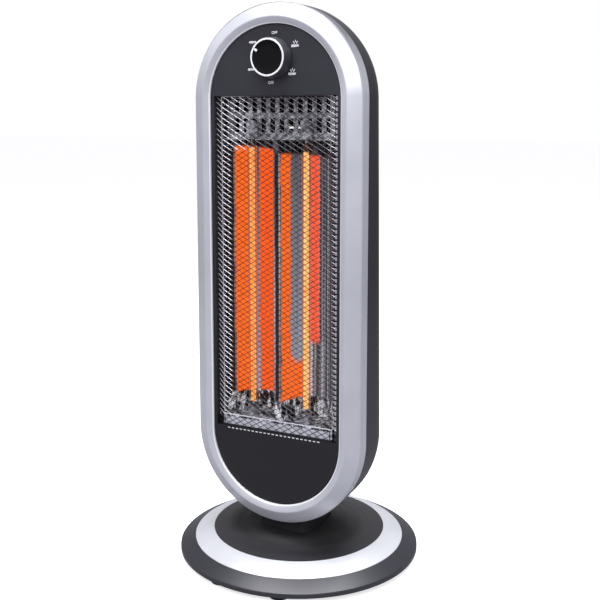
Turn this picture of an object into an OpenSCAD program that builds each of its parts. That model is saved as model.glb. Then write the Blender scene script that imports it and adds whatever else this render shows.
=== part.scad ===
// Oscillating carbon heater on a round base.
// The front faces -Y, +Z is up, and the origin is the centre of the base on the floor.
// Pieces of the upper housing are drawn lying down, in a front frame where X runs to the
// right, Y runs up and Z runs forward; front_frame() stands them up.

/* [Base] */
// Outer radius of the base
base_r = 141; // [136:0.5:146]
// Height of the base's lower rim above the floor
rim_bottom = 6; // [5.5:0.5:8]
// Height of the upright band at the rim
rim_band = 5; // [3:0.5:6]
// Wall thickness of the base cover
cover_wall = 2.5; // [2:0.25:3]
// Distance from the base's edge to the silver trim ring
trim_margin = 17.6; // [14:0.1:20]
// Height of the trim ring's outer edge
trim_out_z = 19.3; // [18:0.1:21]
// Width of the trim ring, seen from above
trim_w = 22.4; // [18:0.2:26]
// Height of the trim ring's inner edge
trim_in_z = 28; // [26:0.5:29]
// Thickness of the trim ring
trim_t = 1.6; // [1:0.1:2]
// Radius of the raised hub
hub_r = 63.5; // [61:0.5:68]
// Half of the width over which the hub's edge falls softly to the dome
hub_soft = 5; // [3:0.5:6]
// Height of the dome where the hub rises from it
dome_z = 32; // [30.5:0.5:33]
// Height of the top of the hub
hub_top = 36.5; // [35:0.5:38]
// Thickness of the bottom plate
plate_t = 2.5; // [2:0.25:3]
// Radius of a rubber foot
foot_r = 11; // [9:0.5:12]
// Distance from the base's edge to the middle of a foot
foot_margin = 16; // [13.5:0.5:20]
// Angle between a pair's feet and the middle of the pair
foot_spread = 17; // [14:1:20]

/* [Swivel] */
// Outer radius of the swivel tube
tube_r = 13; // [11:0.5:14]
// Wall of the swivel tube
tube_wall = 3; // [2:0.5:3.5]
// Running clearance of the swivel tube in the hub
tube_fit = 0.06; // [0.03:0.01:0.09]
// Wall of the sleeve that guides the swivel tube
sleeve_wall = 3; // [2.5:0.5:4]
// Height of the lower end of the sleeve
sleeve_bottom = 20; // [19:0.5:22]
// Half width of the neck
neck_half_w = 33; // [29:1:36]
// How far the neck's front face lies in front of the axis
neck_front = 44; // [40:1:46]
// How far the neck's rear face lies behind the axis
neck_rear = 30; // [24:1:34]
// Corner radius of the neck
neck_corner = 12; // [6:1:16]
// Gap between the hub and the neck
neck_gap = 1; // [0.6:0.1:1.5]
// Swing of the housing to each side, in degrees
swing_angle = 35; // [25:1:38]

/* [Oscillation drive] */
// Distance from the swivel axis to the motor shaft
motor_offset = 41; // [40:0.5:44]
// Radius of the gear motor
motor_r = 20; // [17:0.5:21]
// Height of the gear motor
motor_h = 13.5; // [12:0.5:14]
// Radius of the motor shaft
shaft_r = 3; // [2.5:0.25:3.5]
// Radius of the crank pin
crank_pin_r = 2.5; // [2:0.25:3]
// Thickness of the crank and of the swing arm
arm_t = 2.2; // [1.8:0.1:2.4]
// Play of the crank pin at each side of its slot
slot_play = 1.7; // [1.5:0.1:2.2]

/* [Tip-over switch] */
// Distance from the base's front edge to the plunger
plunger_margin = 57; // [50:1:64]
// Radius of the plunger
plunger_r = 4; // [3:0.5:5]
// Travel of the plunger
plunger_travel = 4; // [3:0.5:4.5]
// Turns of the plunger spring
spring_turns = 4; // [3:1:5]
// Wire radius of the plunger spring
spring_wire_r = 0.4; // [0.3:0.05:0.45]

/* [Housing outline] */
// Half of the housing's width
half_w = 103; // [100:0.5:106]
// Height of the housing's lowest point
body_bottom = 52; // [50:0.5:56]
// Height of the housing's highest point
body_top = 634; // [625:1:645]

/* [Front ring] */
// Width of the front ring
ring_w = 23; // [22:0.5:25]
// Wall thickness of the front ring
ring_wall = 2.5; // [2:0.25:3]
// Position of the ring's rear edge, forward of the axis
ring_back = 40; // [38:0.5:42]
// Position of the front end of the ring's side wall
ring_side_front = 54; // [52:0.5:56]
// Position of the ring's crest
ring_crest = 65; // [64:0.5:67]
// Distance from the ring's outer edge to its crest
ring_crest_inset = 17; // [16:0.5:18]
// Position of the ring's inner edge
ring_inner_front = 62.2; // [61.5:0.1:63]

/* [Rear shell] */
// Wall thickness of the rear shell
shell_wall = 2.5; // [2:0.25:3]
// Radius of the rear shell's rounded corner
shell_round = 50; // [44:1:54]
// Position where the rear shell's corner starts, at the top
shell_round_start = 27; // [24:0.5:30]
// Backward lean of the rear shell from top to bottom, in degrees
shell_lean = 2; // [1:0.1:2.4]
// Length of a rear vent slot
vent_l = 64; // [50:1:74]
// Height of a rear vent slot
vent_h = 4.5; // [3:0.5:6]
// Distance between rear vent slots
vent_pitch = 10; // [8:0.5:12]
// Slots in each group of rear vents
vent_rows = 8; // [4:1:9]

/* [Front panel] */
// Position of the panel's front face
panel_front = 60; // [59:0.5:61]
// Thickness of the front panel
panel_t = 2.5; // [2:0.25:3]
// Distance from the housing's lowest point up to the window
window_low_margin = 106; // [103:1:110]
// Distance from the window up to the housing's highest point
window_high_margin = 99; // [96:1:106]
// Distance from the panel's edge to the window's sides
window_side_margin = 3; // [2.5:0.5:4]
// Depth of the window's frame behind the panel's face
window_depth = 8; // [7:0.5:9]

/* [Guard] */
// Position of the guard's front face
guard_front = 58; // [57:0.5:58.5]
// Thickness of the guard's strands, front to back
guard_t = 0.8; // [0.6:0.1:1]
// Width of a strand of the guard
strand_w = 1.4; // [1.1:0.1:1.8]
// Diamonds across the guard
guard_columns = 8; // [4:1:8]
// Diamonds up the guard
guard_rows = 32; // [14:1:32]
// Width of the guard's solid edge
guard_edge = 1.6; // [1.2:0.1:2.2]
// Depth of the guard's folded sides
guard_return = 6; // [4:0.5:7]

/* [Heating tubes] */
// How far each tube stands from its trough's middle, towards the other tube
tube_shift = 0.9; // [0:0.1:2]
// Position of the tubes' axes
tube_front = 49; // [48:0.25:49.5]
// Outer radius of a glass tube
glass_r = 5; // [4.5:0.25:5.5]
// Wall of a glass tube
glass_wall = 1; // [0.8:0.1:1.2]
// Distance from the window's lower edge up to the glass
glass_low_margin = 18; // [16:1:22]
// Distance from the glass up to the window's upper edge
glass_high_margin = 39; // [35:1:45]
// Width of the carbon strip
strip_w = 6; // [5:0.25:6.5]
// Thickness of the carbon strip
strip_t = 0.8; // [0.5:0.1:1.2]
// Radius of a ceramic end cap
cap_r = 6.4; // [6.2:0.1:6.6]
// Length of a ceramic end cap
cap_l = 20; // [18:1:24]

/* [Reflector] */
// Distance from the window's sides to the reflector's front edges
reflector_side_margin = 8; // [6:0.5:10]
// Position of the reflector's front edges
reflector_front = 50; // [48:0.5:51]
// Position of the deepest part of each trough
reflector_back = 16; // [12:0.5:20]
// Position of the ridge between the troughs
ridge_front = 54; // [46:0.5:55]
// Distance from the window's lower edge up to the reflector
reflector_low_margin = 13; // [11:1:15]
// Distance from the reflector up to the window's upper edge
reflector_high_margin = 48; // [46:1:51]
// Thickness of the sheet metal
sheet_t = 0.8; // [0.6:0.1:1]
// Position of the slotted sheet above the reflector
slot_sheet_front = 41.5; // [40:0.5:42]
// Slots in a row of the slotted sheet
slot_count = 11; // [7:1:11]
// Distance between slots
slot_pitch = 11.4; // [11:0.1:12]
// Width of a slot
slot_w = 6; // [4:0.5:7]
// Height of a slot
slot_h = 15.5; // [13:0.5:16]

/* [Control knob] */
// Distance from the housing's highest point down to the knob's axis
knob_drop = 59.3; // [56:0.1:62]
// Radius of the knob at the panel
knob_base_r = 22.2; // [20:0.2:23]
// Radius of the knob's front rim
knob_face_r = 20.5; // [18:0.25:21]
// Position of the knob's front face
knob_front = 75.4; // [72:0.2:77]
// Gap between the knob and the panel
knob_gap = 0.6; // [0.4:0.1:1]
// Radius of the switch spindle
spindle_r = 3; // [2.5:0.25:3.5]

/* [Hidden] */

$fn = 64;
eps = 0.01;
// Steps in a rounded corner that is swept round an outline
arc_steps = 8;
// Clearance between pieces that are seated on each other
seat_gap = 0.1;

// Centres of the housing's two round ends
low_c = body_bottom + half_w;
high_c = body_top - half_w;
panel_back = panel_front - panel_t;
inner_half_w = half_w - ring_w;
knob_z = body_top - knob_drop;

// Window, and what stands behind it
window_bottom = body_bottom + window_low_margin;
window_top = body_top - window_high_margin;
window_half_w = inner_half_w - window_side_margin;
reflector_half_w = window_half_w - reflector_side_margin;
reflector_bottom = window_bottom + reflector_low_margin;
reflector_top = window_top - reflector_high_margin;
glass_bottom = window_bottom + glass_low_margin;
glass_top = window_top - glass_high_margin;
tube_x = reflector_half_w / 2 - tube_shift;

// Rings of the base, from its edge inwards
trim_out_r = base_r - trim_margin;
trim_in_r = trim_out_r - trim_w;
foot_ring_r = base_r - foot_margin;
plunger_offset = base_r - plunger_margin;

// Base heights
plate_top = rim_bottom + plate_t;
hub_under = hub_top - cover_wall;
sleeve_r = tube_r + tube_fit + sleeve_wall;
neck_bottom = hub_top + neck_gap;

// Oscillation drive, from the bottom up
arm_z = plate_top + 0.8;
crank_z = arm_z + arm_t + 0.5;
motor_z = crank_z + arm_t + 0.4;
// The crank's throw makes the dead centres lie at the full swing
crank_throw = motor_offset * sin(swing_angle);
arm_hub_r = tube_r + 2;
slot_half_w = crank_pin_r + slot_play;
slot_near = motor_offset - crank_throw;
slot_far = motor_offset + crank_throw;
shaft_top = motor_z + motor_h - 3;
shaft_fit = 0.05;

// Tip-over switch, from the bottom up
flange_z = plate_top + plunger_travel + 0.3;
flange_t = 1.4;
switch_roof = flange_z + flange_t + 5;
roof_t = 1.6;
stem_r = plunger_r / 2;

SCREW_R = 1.6;
SCREW_HEAD_R = 3;
SCREW_HEAD_T = 1.8;
// A screw's thread is this much thinner than its hole, and a free hole this much wider
thread_fit = 0.05;
hole_play = 0.3;
// Radius of the posts that take screws
post_r = 4.5;

// Points of an arc, from angle a0 to a1
function arc(cx, cy, r, a0, a1, n = arc_steps) =
    [for (i = [0:n]) let (a = a0 + (a1 - a0) * i / n) [cx + r * cos(a), cy + r * sin(a)]];

// Stands a piece up: X stays, Y becomes up and Z becomes forward
module front_frame() {
    rotate([90, 0, 0]) children();
}

// A flat upright outline with round ends, in the front frame
module stadium(r, lift = 0) {
    translate([-r, low_c + lift]) square([2 * r, high_c - low_c - 2 * lift]);
    translate([0, low_c + lift]) circle(r);
    translate([0, high_c - lift]) circle(r);
}

// Carries a profile (distance from the middle, forward position) round the housing's outline
module round_outline() {
    translate([0, high_c, 0]) rotate_extrude(angle = 180, $fn = 96) children();
    translate([0, low_c, 0]) rotate([0, 0, 180]) rotate_extrude(angle = 180, $fn = 96) children();
    for (m = [0, 1]) mirror([m, 0, 0])
        translate([0, high_c, 0]) rotate([90, 0, 0]) linear_extrude(high_c - low_c) children();
}

module tube(r_out, r_in, h) {
    difference() {
        cylinder(r = r_out, h = h);
        translate([0, 0, -1]) cylinder(r = r_in, h = h + 2);
    }
}

// A pan-head screw with its head down, from its seat at z = 0 up to its tip
module screw(length, r = SCREW_R, head_r = SCREW_HEAD_R, head_t = SCREW_HEAD_T) {
    difference() {
        union() {
            translate([0, 0, -head_t]) cylinder(r = head_r, h = head_t);
            cylinder(r = r, h = length);
        }
        for (a = [0, 90]) rotate([0, 0, a])
            translate([-head_r * 0.6, -0.4, -head_t - 1]) cube([head_r * 1.2, 0.8, head_t * 0.6 + 1]);
    }
}

// Base: skirt, seat of the trim ring, dome, hub and swivel sleeve in one moulding

skirt_top_z = trim_out_z - 0.2;
rim_z = rim_bottom + rim_band;
dome_rise = dome_z - trim_in_z;

// Height of the dome's skin at radius r, between the trim ring and the hub
function dome_height(r) = let (t = (r - hub_r) / (trim_in_r - hub_r)) dome_z - dome_rise * t * t;

// The skirt slopes from the trim ring down to the rim and turns into the upright band
skirt_round = 1.5;
skirt_angle = atan2(skirt_top_z - rim_z, base_r - trim_out_r);
skirt_turn_z = rim_z + skirt_round * (tan(skirt_angle) - 1 / cos(skirt_angle));

// Screws that hold the bottom plate
base_screw_r = base_r - 33;
base_screw_n = 5;
base_screw_l = 8;
// Ears that hang the motor from bosses under the hub
motor_ear_x = motor_r + 4.5;
motor_ear_r = 4;
motor_ear_t = 1.2;
motor_boss_r = 3.5;

// Height of the hub's soft edge at radius r
function hub_edge(r) =
    dome_z + (hub_top - dome_z) * (0.5 + 0.5 * cos(90 * (r - hub_r + hub_soft) / hub_soft));

cover_outer = concat(
    [for (i = [0:arc_steps]) let (r = hub_r - hub_soft + 2 * hub_soft * i / arc_steps) [r, hub_edge(r)]],
    [for (i = [1:5]) let (r = hub_r + hub_soft + (trim_in_r - hub_r - hub_soft) * i / 5) [r, dome_height(r)]],
    [[trim_in_r, trim_in_z - trim_t], [trim_out_r, trim_out_z - trim_t], [trim_out_r, skirt_top_z]],
    arc(base_r - skirt_round, skirt_turn_z, skirt_round, 90 - skirt_angle, 0, 4),
    [[base_r, rim_bottom]]);

module base_cover_profile() {
    under = [for (i = [5:-1:0]) let (r = hub_r + (trim_in_r - hub_r) * i / 5)
        [r, dome_height(r) - cover_wall - trim_t * (i == 5 ? 1 : 0)]];
    polygon(concat(
        [[tube_r + tube_fit, hub_top]],
        cover_outer,
        [[base_r - cover_wall, rim_bottom],
         [base_r - cover_wall, rim_z - cover_wall * (1 / cos(skirt_angle) - tan(skirt_angle))],
         [trim_out_r, skirt_top_z - trim_t - cover_wall]],
        under,
        [[hub_r - hub_soft, dome_z - cover_wall], [hub_r - hub_soft, hub_under],
         [sleeve_r, hub_under], [sleeve_r, sleeve_bottom], [tube_r + tube_fit, sleeve_bottom]]));
}

module at_base_screws() {
    for (i = [0:base_screw_n - 1]) rotate([0, 0, 90 + 36 + i * 360 / base_screw_n])
        translate([base_screw_r, 0, 0]) children();
}

// Posts under the trim ring's seat, cut off at the cover's skin
module base_screw_posts() {
    intersection() {
        at_base_screws() translate([0, 0, plate_top]) cylinder(r = post_r, h = hub_top);
        rotate_extrude($fn = 128) polygon(concat([[0, rim_bottom], [0, hub_top]], cover_outer));
    }
}

gland_z = rim_bottom + 4.6;
gland_w = 11;
gland_l = 14;
inlet_r = 3.6;

module base_cover() {
    color([0.17, 0.17, 0.19]) difference() {
        union() {
            rotate_extrude($fn = 128) base_cover_profile();
            base_screw_posts();
            for (s = [-1, 1]) translate([s * motor_ear_x, motor_offset, motor_z + motor_h])
                cylinder(r = motor_boss_r, h = hub_under - motor_z - motor_h + 0.5);
        }
        at_base_screws() translate([0, 0, plate_top - 1]) cylinder(r = SCREW_R, h = base_screw_l + 1);
        for (s = [-1, 1]) translate([s * motor_ear_x, motor_offset, motor_z + motor_h - 1])
            cylinder(r = SCREW_R, h = hub_under - motor_z - motor_h + 1.5);
        translate([-gland_w / 2 - seat_gap, base_r - gland_l - 1, rim_bottom - 1])
            cube([gland_w + 2 * seat_gap, gland_l + 3, gland_z - rim_bottom + 1]);
        translate([0, base_r + 2, gland_z]) rotate([90, 0, 0])
            cylinder(r = gland_w / 2 + seat_gap, h = gland_l + 3);
    }
}

module base_trim_ring() {
    crown = 0.7;
    color([0.80, 0.81, 0.84]) rotate_extrude($fn = 128) polygon(concat(
        [for (i = [0:6]) let (t = i / 6)
            [trim_in_r + seat_gap + (trim_out_r - trim_in_r - 2 * seat_gap) * t,
             trim_in_z + (trim_out_z - trim_in_z) * t + crown * sin(180 * t) + 0.3]],
        [[trim_out_r - seat_gap, trim_out_z - trim_t + seat_gap],
         [trim_in_r + seat_gap, trim_in_z - trim_t + seat_gap]]));
}

plate_r = base_r - cover_wall - 0.6;
// Low rim that stiffens the plate just inside the cover
plate_rim_w = 2;
plate_rim_h = 1.5;

module at_feet() {
    for (p = [0, 120, 240], s = [-1, 1]) rotate([0, 0, -90 + p + s * foot_spread])
        translate([foot_ring_r, 0, 0]) children();
}

module bottom_plate() {
    color([0.13, 0.13, 0.14]) difference() {
        union() {
            translate([0, 0, rim_bottom]) cylinder(r = plate_r, h = plate_t, $fn = 128);
            translate([0, 0, rim_bottom])
                tube(plate_r - plate_rim_h, plate_r - plate_rim_h - plate_rim_w, plate_t + plate_rim_h);
        }
        at_base_screws() translate([0, 0, rim_bottom - 1]) cylinder(r = SCREW_R + hole_play, h = plate_t + 2);
        at_feet() translate([0, 0, rim_bottom - 1]) cylinder(r = foot_stem_r + seat_gap, h = plate_t + 2);
        translate([0, -plunger_offset, rim_bottom - 1]) cylinder(r = plunger_r + 0.1, h = plate_t + 2);
        translate([-gland_w / 2 - seat_gap, base_r - gland_l - 1, rim_bottom - 1])
            cube([gland_w + 2 * seat_gap, gland_l + 3, plate_t + 4]);
    }
}

foot_stem_r = 3;
foot_bevel_h = 2;
foot_barb_h = 2;

// Rubber pads with a stem that is pushed through the bottom plate
module rubber_feet() {
    color([0.08, 0.08, 0.08]) at_feet() {
        cylinder(r1 = foot_r - 1, r2 = foot_r, h = foot_bevel_h);
        translate([0, 0, foot_bevel_h]) cylinder(r = foot_r, h = rim_bottom - foot_bevel_h);
        translate([0, 0, rim_bottom]) cylinder(r = foot_stem_r, h = plate_t + seat_gap);
        translate([0, 0, plate_top + seat_gap])
            cylinder(r1 = foot_stem_r + 0.8, r2 = foot_stem_r - 0.6, h = foot_barb_h);
    }
}

module base_screws() {
    color([0.55, 0.55, 0.57])
        at_base_screws() translate([0, 0, rim_bottom]) screw(base_screw_l, r = SCREW_R - thread_fit);
}

// Bush of the mains inlet, held between the cover's notch and the bottom plate
module cord_gland() {
    back = base_r - 0.6;
    color([0.07, 0.07, 0.07]) difference() {
        union() {
            translate([0, back, gland_z]) rotate([90, 0, 0]) cylinder(r = gland_w / 2, h = gland_l);
            translate([-gland_w / 2, back - gland_l, rim_bottom])
                cube([gland_w, gland_l, gland_z - rim_bottom]);
        }
        translate([0, base_r + 1, gland_z]) rotate([90, 0, 0]) cylinder(r = inlet_r, h = gland_l + 5);
        translate([-gland_w, back - gland_l - 1, rim_bottom - 5]) cube([2 * gland_w, gland_l + 2, 5]);
    }
}

// Block on the bottom plate where the mains wires meet the inner wires
block_margin = 56;
block_place = [block_margin - base_r, motor_offset + 5];
block_size = [34, 16, 11];
block_ways = 3;
block_screw_r = 2;

module terminal_block() {
    color([0.85, 0.83, 0.75]) translate([block_place[0], block_place[1], plate_top]) difference() {
        cube(block_size);
        for (i = [0:block_ways - 1])
            translate([(i + 0.5) * block_size[0] / block_ways, block_size[1] / 2, block_size[2] / 3])
                cylinder(r = block_screw_r, h = block_size[2]);
    }
}

// Thin slip ring that carries the neck on the hub
washer_w = 11;

module thrust_washer() {
    color([0.9, 0.9, 0.86]) translate([0, 0, hub_top])
        tube(tube_r + washer_w, tube_r + 0.3, neck_gap - 0.2);
}

// Oscillation drive: the motor hangs from the hub and its crank turns below it

module at_motor() {
    translate([0, motor_offset, 0]) children();
}

module gear_motor() {
    color([0.72, 0.72, 0.74]) at_motor() difference() {
        union() {
            translate([0, 0, motor_z]) cylinder(r = motor_r, h = motor_h);
            translate([-motor_ear_x, -motor_ear_r, motor_z + motor_h - motor_ear_t])
                cube([2 * motor_ear_x, 2 * motor_ear_r, motor_ear_t]);
            for (s = [-1, 1]) translate([s * motor_ear_x, 0, motor_z + motor_h - motor_ear_t])
                cylinder(r = motor_ear_r, h = motor_ear_t);
        }
        translate([0, 0, motor_z - 1]) cylinder(r = shaft_r + shaft_fit, h = shaft_top - motor_z + 1.4);
        for (s = [-1, 1])
            translate([s * motor_ear_x, 0, motor_z + motor_h - 3]) cylinder(r = SCREW_R + 0.2, h = 5);
    }
}

module motor_screws() {
    color([0.55, 0.55, 0.57]) at_motor() for (s = [-1, 1])
        translate([s * motor_ear_x, 0, motor_z + motor_h - motor_ear_t])
            screw(motor_ear_t + hub_under - motor_z - motor_h - 0.6, r = SCREW_R - thread_fit);
}

module motor_shaft() {
    color([0.75, 0.75, 0.77])
        at_motor() translate([0, 0, crank_z]) cylinder(r = shaft_r, h = shaft_top - crank_z);
}

// Wall of the sleeve that rolls on the crank's pin
roller_wall = 0.8;

// The crank's arm points away from the swivel axis at the middle of the swing
module crank() {
    boss_r = shaft_r + 3;
    end_r = crank_pin_r + 1.2;
    color([0.88, 0.88, 0.84]) at_motor() difference() {
        union() {
            translate([0, 0, crank_z]) cylinder(r = boss_r, h = arm_t);
            translate([0, crank_throw, crank_z]) cylinder(r = end_r, h = arm_t);
            translate([-end_r, 0, crank_z]) cube([2 * end_r, crank_throw, arm_t]);
            translate([0, crank_throw, arm_z])
                cylinder(r = crank_pin_r - roller_wall, h = crank_z - arm_z + eps);
        }
        translate([0, 0, crank_z - 1]) cylinder(r = shaft_r, h = arm_t + 2);
    }
}

// Sleeve on the crank pin that runs in the swing arm's slot
module crank_roller() {
    color([0.3, 0.3, 0.32]) at_motor() translate([0, crank_throw, arm_z])
        tube(crank_pin_r, crank_pin_r - roller_wall + shaft_fit, crank_z - arm_z - 0.1);
}

// Tip-over switch: the floor holds the sprung plunger in while the heater stands

module at_plunger() {
    translate([0, -plunger_offset, 0]) children();
}

housing_bore_r = plunger_r + 2.4;
housing_half_w = housing_bore_r + 2;
// Ears of the guide on the bottom plate
guide_ear_l = 8;
guide_ear_w = 8;
guide_ear_t = 2;

module tip_switch_housing() {
    color([0.9, 0.88, 0.8]) at_plunger() difference() {
        union() {
            translate([-housing_half_w, -housing_half_w, plate_top])
                cube([2 * housing_half_w, 2 * housing_half_w, switch_roof + roof_t - plate_top]);
            translate([-housing_half_w - guide_ear_l, -guide_ear_w / 2, plate_top])
                cube([2 * (housing_half_w + guide_ear_l), guide_ear_w, guide_ear_t]);
        }
        translate([0, 0, plate_top - 1]) cylinder(r = housing_bore_r, h = switch_roof - plate_top + 1);
        translate([0, 0, plate_top]) cylinder(r = stem_r + 0.15, h = switch_roof + roof_t);
    }
}

stem_top = switch_roof + roof_t + 1.2;
micro_l = 14;
micro_w = 10;
micro_hole_r = 0.8;
// Leaf of the small switch, over the plunger's stem
lever_w = 4;
lever_t = 0.4;

module tip_microswitch() {
    color([0.12, 0.12, 0.13]) at_plunger() difference() {
        translate([housing_half_w + 0.2, -micro_w / 2, plate_top + guide_ear_t])
            cube([micro_l, micro_w, stem_top - plate_top - 1]);
        for (s = [-1, 1]) translate([housing_half_w - 1, s * micro_w * 0.3, plate_top + micro_w / 2])
            rotate([0, 90, 0]) cylinder(r = micro_hole_r, h = micro_l + 3);
    }
    color([0.7, 0.7, 0.7]) at_plunger() translate([-stem_r, -lever_w / 2, stem_top + 0.2])
        cube([housing_half_w + micro_l * 0.7, lever_w, lever_t]);
}

module tip_plunger() {
    color([0.85, 0.3, 0.1]) at_plunger() {
        translate([0, 0, 0.2]) cylinder(r1 = plunger_r - 1, r2 = plunger_r, h = 1);
        translate([0, 0, 1.2]) cylinder(r = plunger_r, h = flange_z - 1.2);
        translate([0, 0, flange_z]) cylinder(r = housing_bore_r - 0.3, h = flange_t);
        translate([0, 0, flange_z + flange_t]) cylinder(r = stem_r, h = stem_top - flange_z - flange_t);
    }
}

// Points of a ring of the spring's wire at turn angle a
spring_r = housing_bore_r - 1.4;
spring_low = flange_z + flange_t + 0.1 + spring_wire_r;
spring_high = switch_roof - 0.1 - spring_wire_r;
spring_sides = 6;
spring_steps = 16;

function spring_ring(a, turns) = let (h = spring_low + (spring_high - spring_low) * a / (360 * turns))
    [for (k = [0:spring_sides - 1]) let (b = 360 * k / spring_sides, r = spring_r + spring_wire_r * cos(b))
        [r * cos(a), r * sin(a), h + spring_wire_r * sin(b)]];

module plunger_spring() {
    n = spring_turns * spring_steps;
    points = [for (i = [0:n]) each spring_ring(i * 360 / spring_steps, spring_turns)];
    sides = [for (i = [0:n - 1], k = [0:spring_sides - 1])
        let (a = i * spring_sides + k, b = i * spring_sides + (k + 1) % spring_sides)
        [a, a + spring_sides, b + spring_sides, b]];
    ends = [[for (k = [0:spring_sides - 1]) k],
            [for (k = [spring_sides - 1:-1:0]) n * spring_sides + k]];
    color([0.7, 0.7, 0.72]) at_plunger() polyhedron(points, concat(sides, ends));
}

// Neck and swivel

// Solid inside the rear shell's outer skin, shrunk by inset, in the front frame
module shell_solid(inset = 0) {
    r = half_w - inset;
    corner = shell_round - inset;
    back = shell_round_start - shell_round + inset;
    half = concat([[0, back]], arc(r - corner, shell_round_start, corner, -90, 0),
        [[r, ring_crest], [0, ring_crest]]);
    full = concat(arc(r - corner, shell_round_start, corner, -90, 0), [[r, ring_crest], [-r, ring_crest]],
        arc(corner - r, shell_round_start, corner, 180, 270));
    translate([0, body_top, ring_back]) rotate([shell_lean, 0, 0]) translate([0, -body_top, -ring_back]) {
        translate([0, high_c, 0]) rotate_extrude(angle = 180, $fn = 96) polygon(half);
        translate([0, low_c, 0]) rotate([0, 0, 180]) rotate_extrude(angle = 180, $fn = 96) polygon(half);
        translate([0, high_c, 0]) rotate([90, 0, 0]) linear_extrude(high_c - low_c) polygon(full);
    }
}

module neck_outline(inset = 0) {
    r = neck_corner - inset;
    w = neck_half_w - neck_corner;
    polygon(concat(
        arc(w, neck_rear - neck_corner, r, 0, 90, 6), arc(-w, neck_rear - neck_corner, r, 90, 180, 6),
        arc(-w, neck_corner - neck_front, r, 180, 270, 6), arc(w, neck_corner - neck_front, r, 270, 360, 6)));
}

neck_wall = 3;
neck_post_r = 4;
arm_screw_r = 0.8;
tube_bottom = arm_z + arm_t;
clip_t = 1.4;
clip_z = sleeve_bottom - 0.4 - clip_t;
clip_groove = 0.8;
clip_w = 3.4;
clip_mouth = 5;

module neck() {
    tall = low_c - neck_bottom;
    color([0.13, 0.13, 0.14]) difference() {
        union() {
            difference() {
                translate([0, 0, neck_bottom]) linear_extrude(tall) neck_outline();
                difference() {
                    translate([0, 0, neck_bottom + neck_wall]) linear_extrude(tall) neck_outline(neck_wall);
                    at_neck_screws() translate([0, 0, neck_bottom]) cylinder(r = neck_post_r, h = tall);
                }
                front_frame() shell_solid(-seat_gap);
                // The front ring's round end stands in the neck's front edge
                front_frame() translate([0, low_c, ring_back - 1])
                    cylinder(r = half_w + seat_gap, h = ring_crest, $fn = 96);
            }
            translate([0, 0, tube_bottom]) cylinder(r = tube_r, h = neck_bottom + neck_wall - tube_bottom);
        }
        translate([0, 0, tube_bottom - 1])
            cylinder(r = tube_r - tube_wall, h = neck_bottom + neck_wall - tube_bottom + 2);
        translate([0, 0, clip_z]) tube(tube_r + 1, tube_r - clip_groove, clip_t);
        at_arm_screws() translate([0, 0, tube_bottom - 1]) cylinder(r = arm_screw_r, h = arm_screw_l + 1);
        at_neck_screws() translate([0, 0, neck_bottom + neck_wall]) cylinder(r = SCREW_R, h = tall);
    }
}

// Four screws go down through pads on the rear shell's floor into the neck
neck_screw_x = 20;
neck_screw_rows = [[-30, body_bottom + 6.8], [16, body_bottom + 15.4]];
neck_screw_l = 15;

// Stands its children at each neck screw's seat, or on the floor
module at_neck_screws(on_seat = 0) {
    for (s = [-1, 1], row = neck_screw_rows)
        translate([s * neck_screw_x, row[0], on_seat * row[1]]) children();
}

module neck_screws() {
    color([0.5, 0.5, 0.52])
        at_neck_screws(1) rotate([180, 0, 0]) screw(neck_screw_l, r = SCREW_R - thread_fit);
}

module retaining_clip() {
    color([0.6, 0.6, 0.62]) translate([0, 0, clip_z + 0.05]) difference() {
        tube(tube_r + clip_w, tube_r - clip_groove + 0.05, clip_t - 0.1);
        translate([-clip_mouth / 2, -tube_r - clip_w - 1, -1])
            cube([clip_mouth, clip_w + clip_groove + 3, clip_t + 2]);
    }
}

arm_screw_l = 4;

module at_arm_screws() {
    for (a = [150, 270, 30]) rotate([0, 0, a]) translate([tube_r - tube_wall / 2, 0, 0]) children();
}

module swing_arm() {
    arm_half = slot_half_w + 3.5;
    color([0.68, 0.68, 0.7]) translate([0, 0, arm_z]) difference() {
        union() {
            cylinder(r = arm_hub_r, h = arm_t);
            translate([-arm_half, 0, 0]) cube([2 * arm_half, slot_far, arm_t]);
            translate([0, slot_far, 0]) cylinder(r = arm_half, h = arm_t);
        }
        translate([0, 0, -1]) cylinder(r = tube_r - tube_wall, h = arm_t + 2);
        translate([-slot_half_w, slot_near, -1]) cube([2 * slot_half_w, slot_far - slot_near, arm_t + 2]);
        translate([0, slot_far, -1]) cylinder(r = slot_half_w, h = arm_t + 2);
        at_arm_screws() translate([0, 0, -1]) cylinder(r = arm_screw_r + 0.2, h = arm_t + 2);
    }
}

module swing_arm_screws() {
    color([0.5, 0.5, 0.52]) at_arm_screws() translate([0, 0, arm_z]) 
        screw(arm_t + arm_screw_l, r = arm_screw_r - thread_fit, head_r = 1.4, head_t = 0.6);
}

// Rear shell

// Places of the six screws that hold the front ring: [x, y]
fix_r = half_w - 11;
fix_points = concat(
    [for (a = [35, 145]) [fix_r * cos(a), high_c + fix_r * sin(a)]],
    [for (s = [-1, 1]) [s * fix_r, (low_c + high_c) / 2]],
    [for (a = [-50, -130]) [fix_r * cos(a), low_c + fix_r * sin(a)]]);
lip_t = 2;
lip_root = 6;
lip_step = 0.5;
lip_front = ring_back + 3;
chassis_back = 8;
chassis_screw_inset = 19;
chassis_screw_l = 6;
chassis_points = [for (s = [-1, 1],
    y = [reflector_bottom + chassis_screw_inset, reflector_top - chassis_screw_inset])
    [s * (reflector_half_w - chassis_screw_inset), y]];

// Grip recess in the top of the rear shell
grip_y = body_top - 68;
grip_w = 92;
grip_h = 34;
grip_depth = 18;
grip_round = 10;
grip_overcut = 15;
grip_back = shell_round_start - shell_round - grip_overcut;

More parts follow.
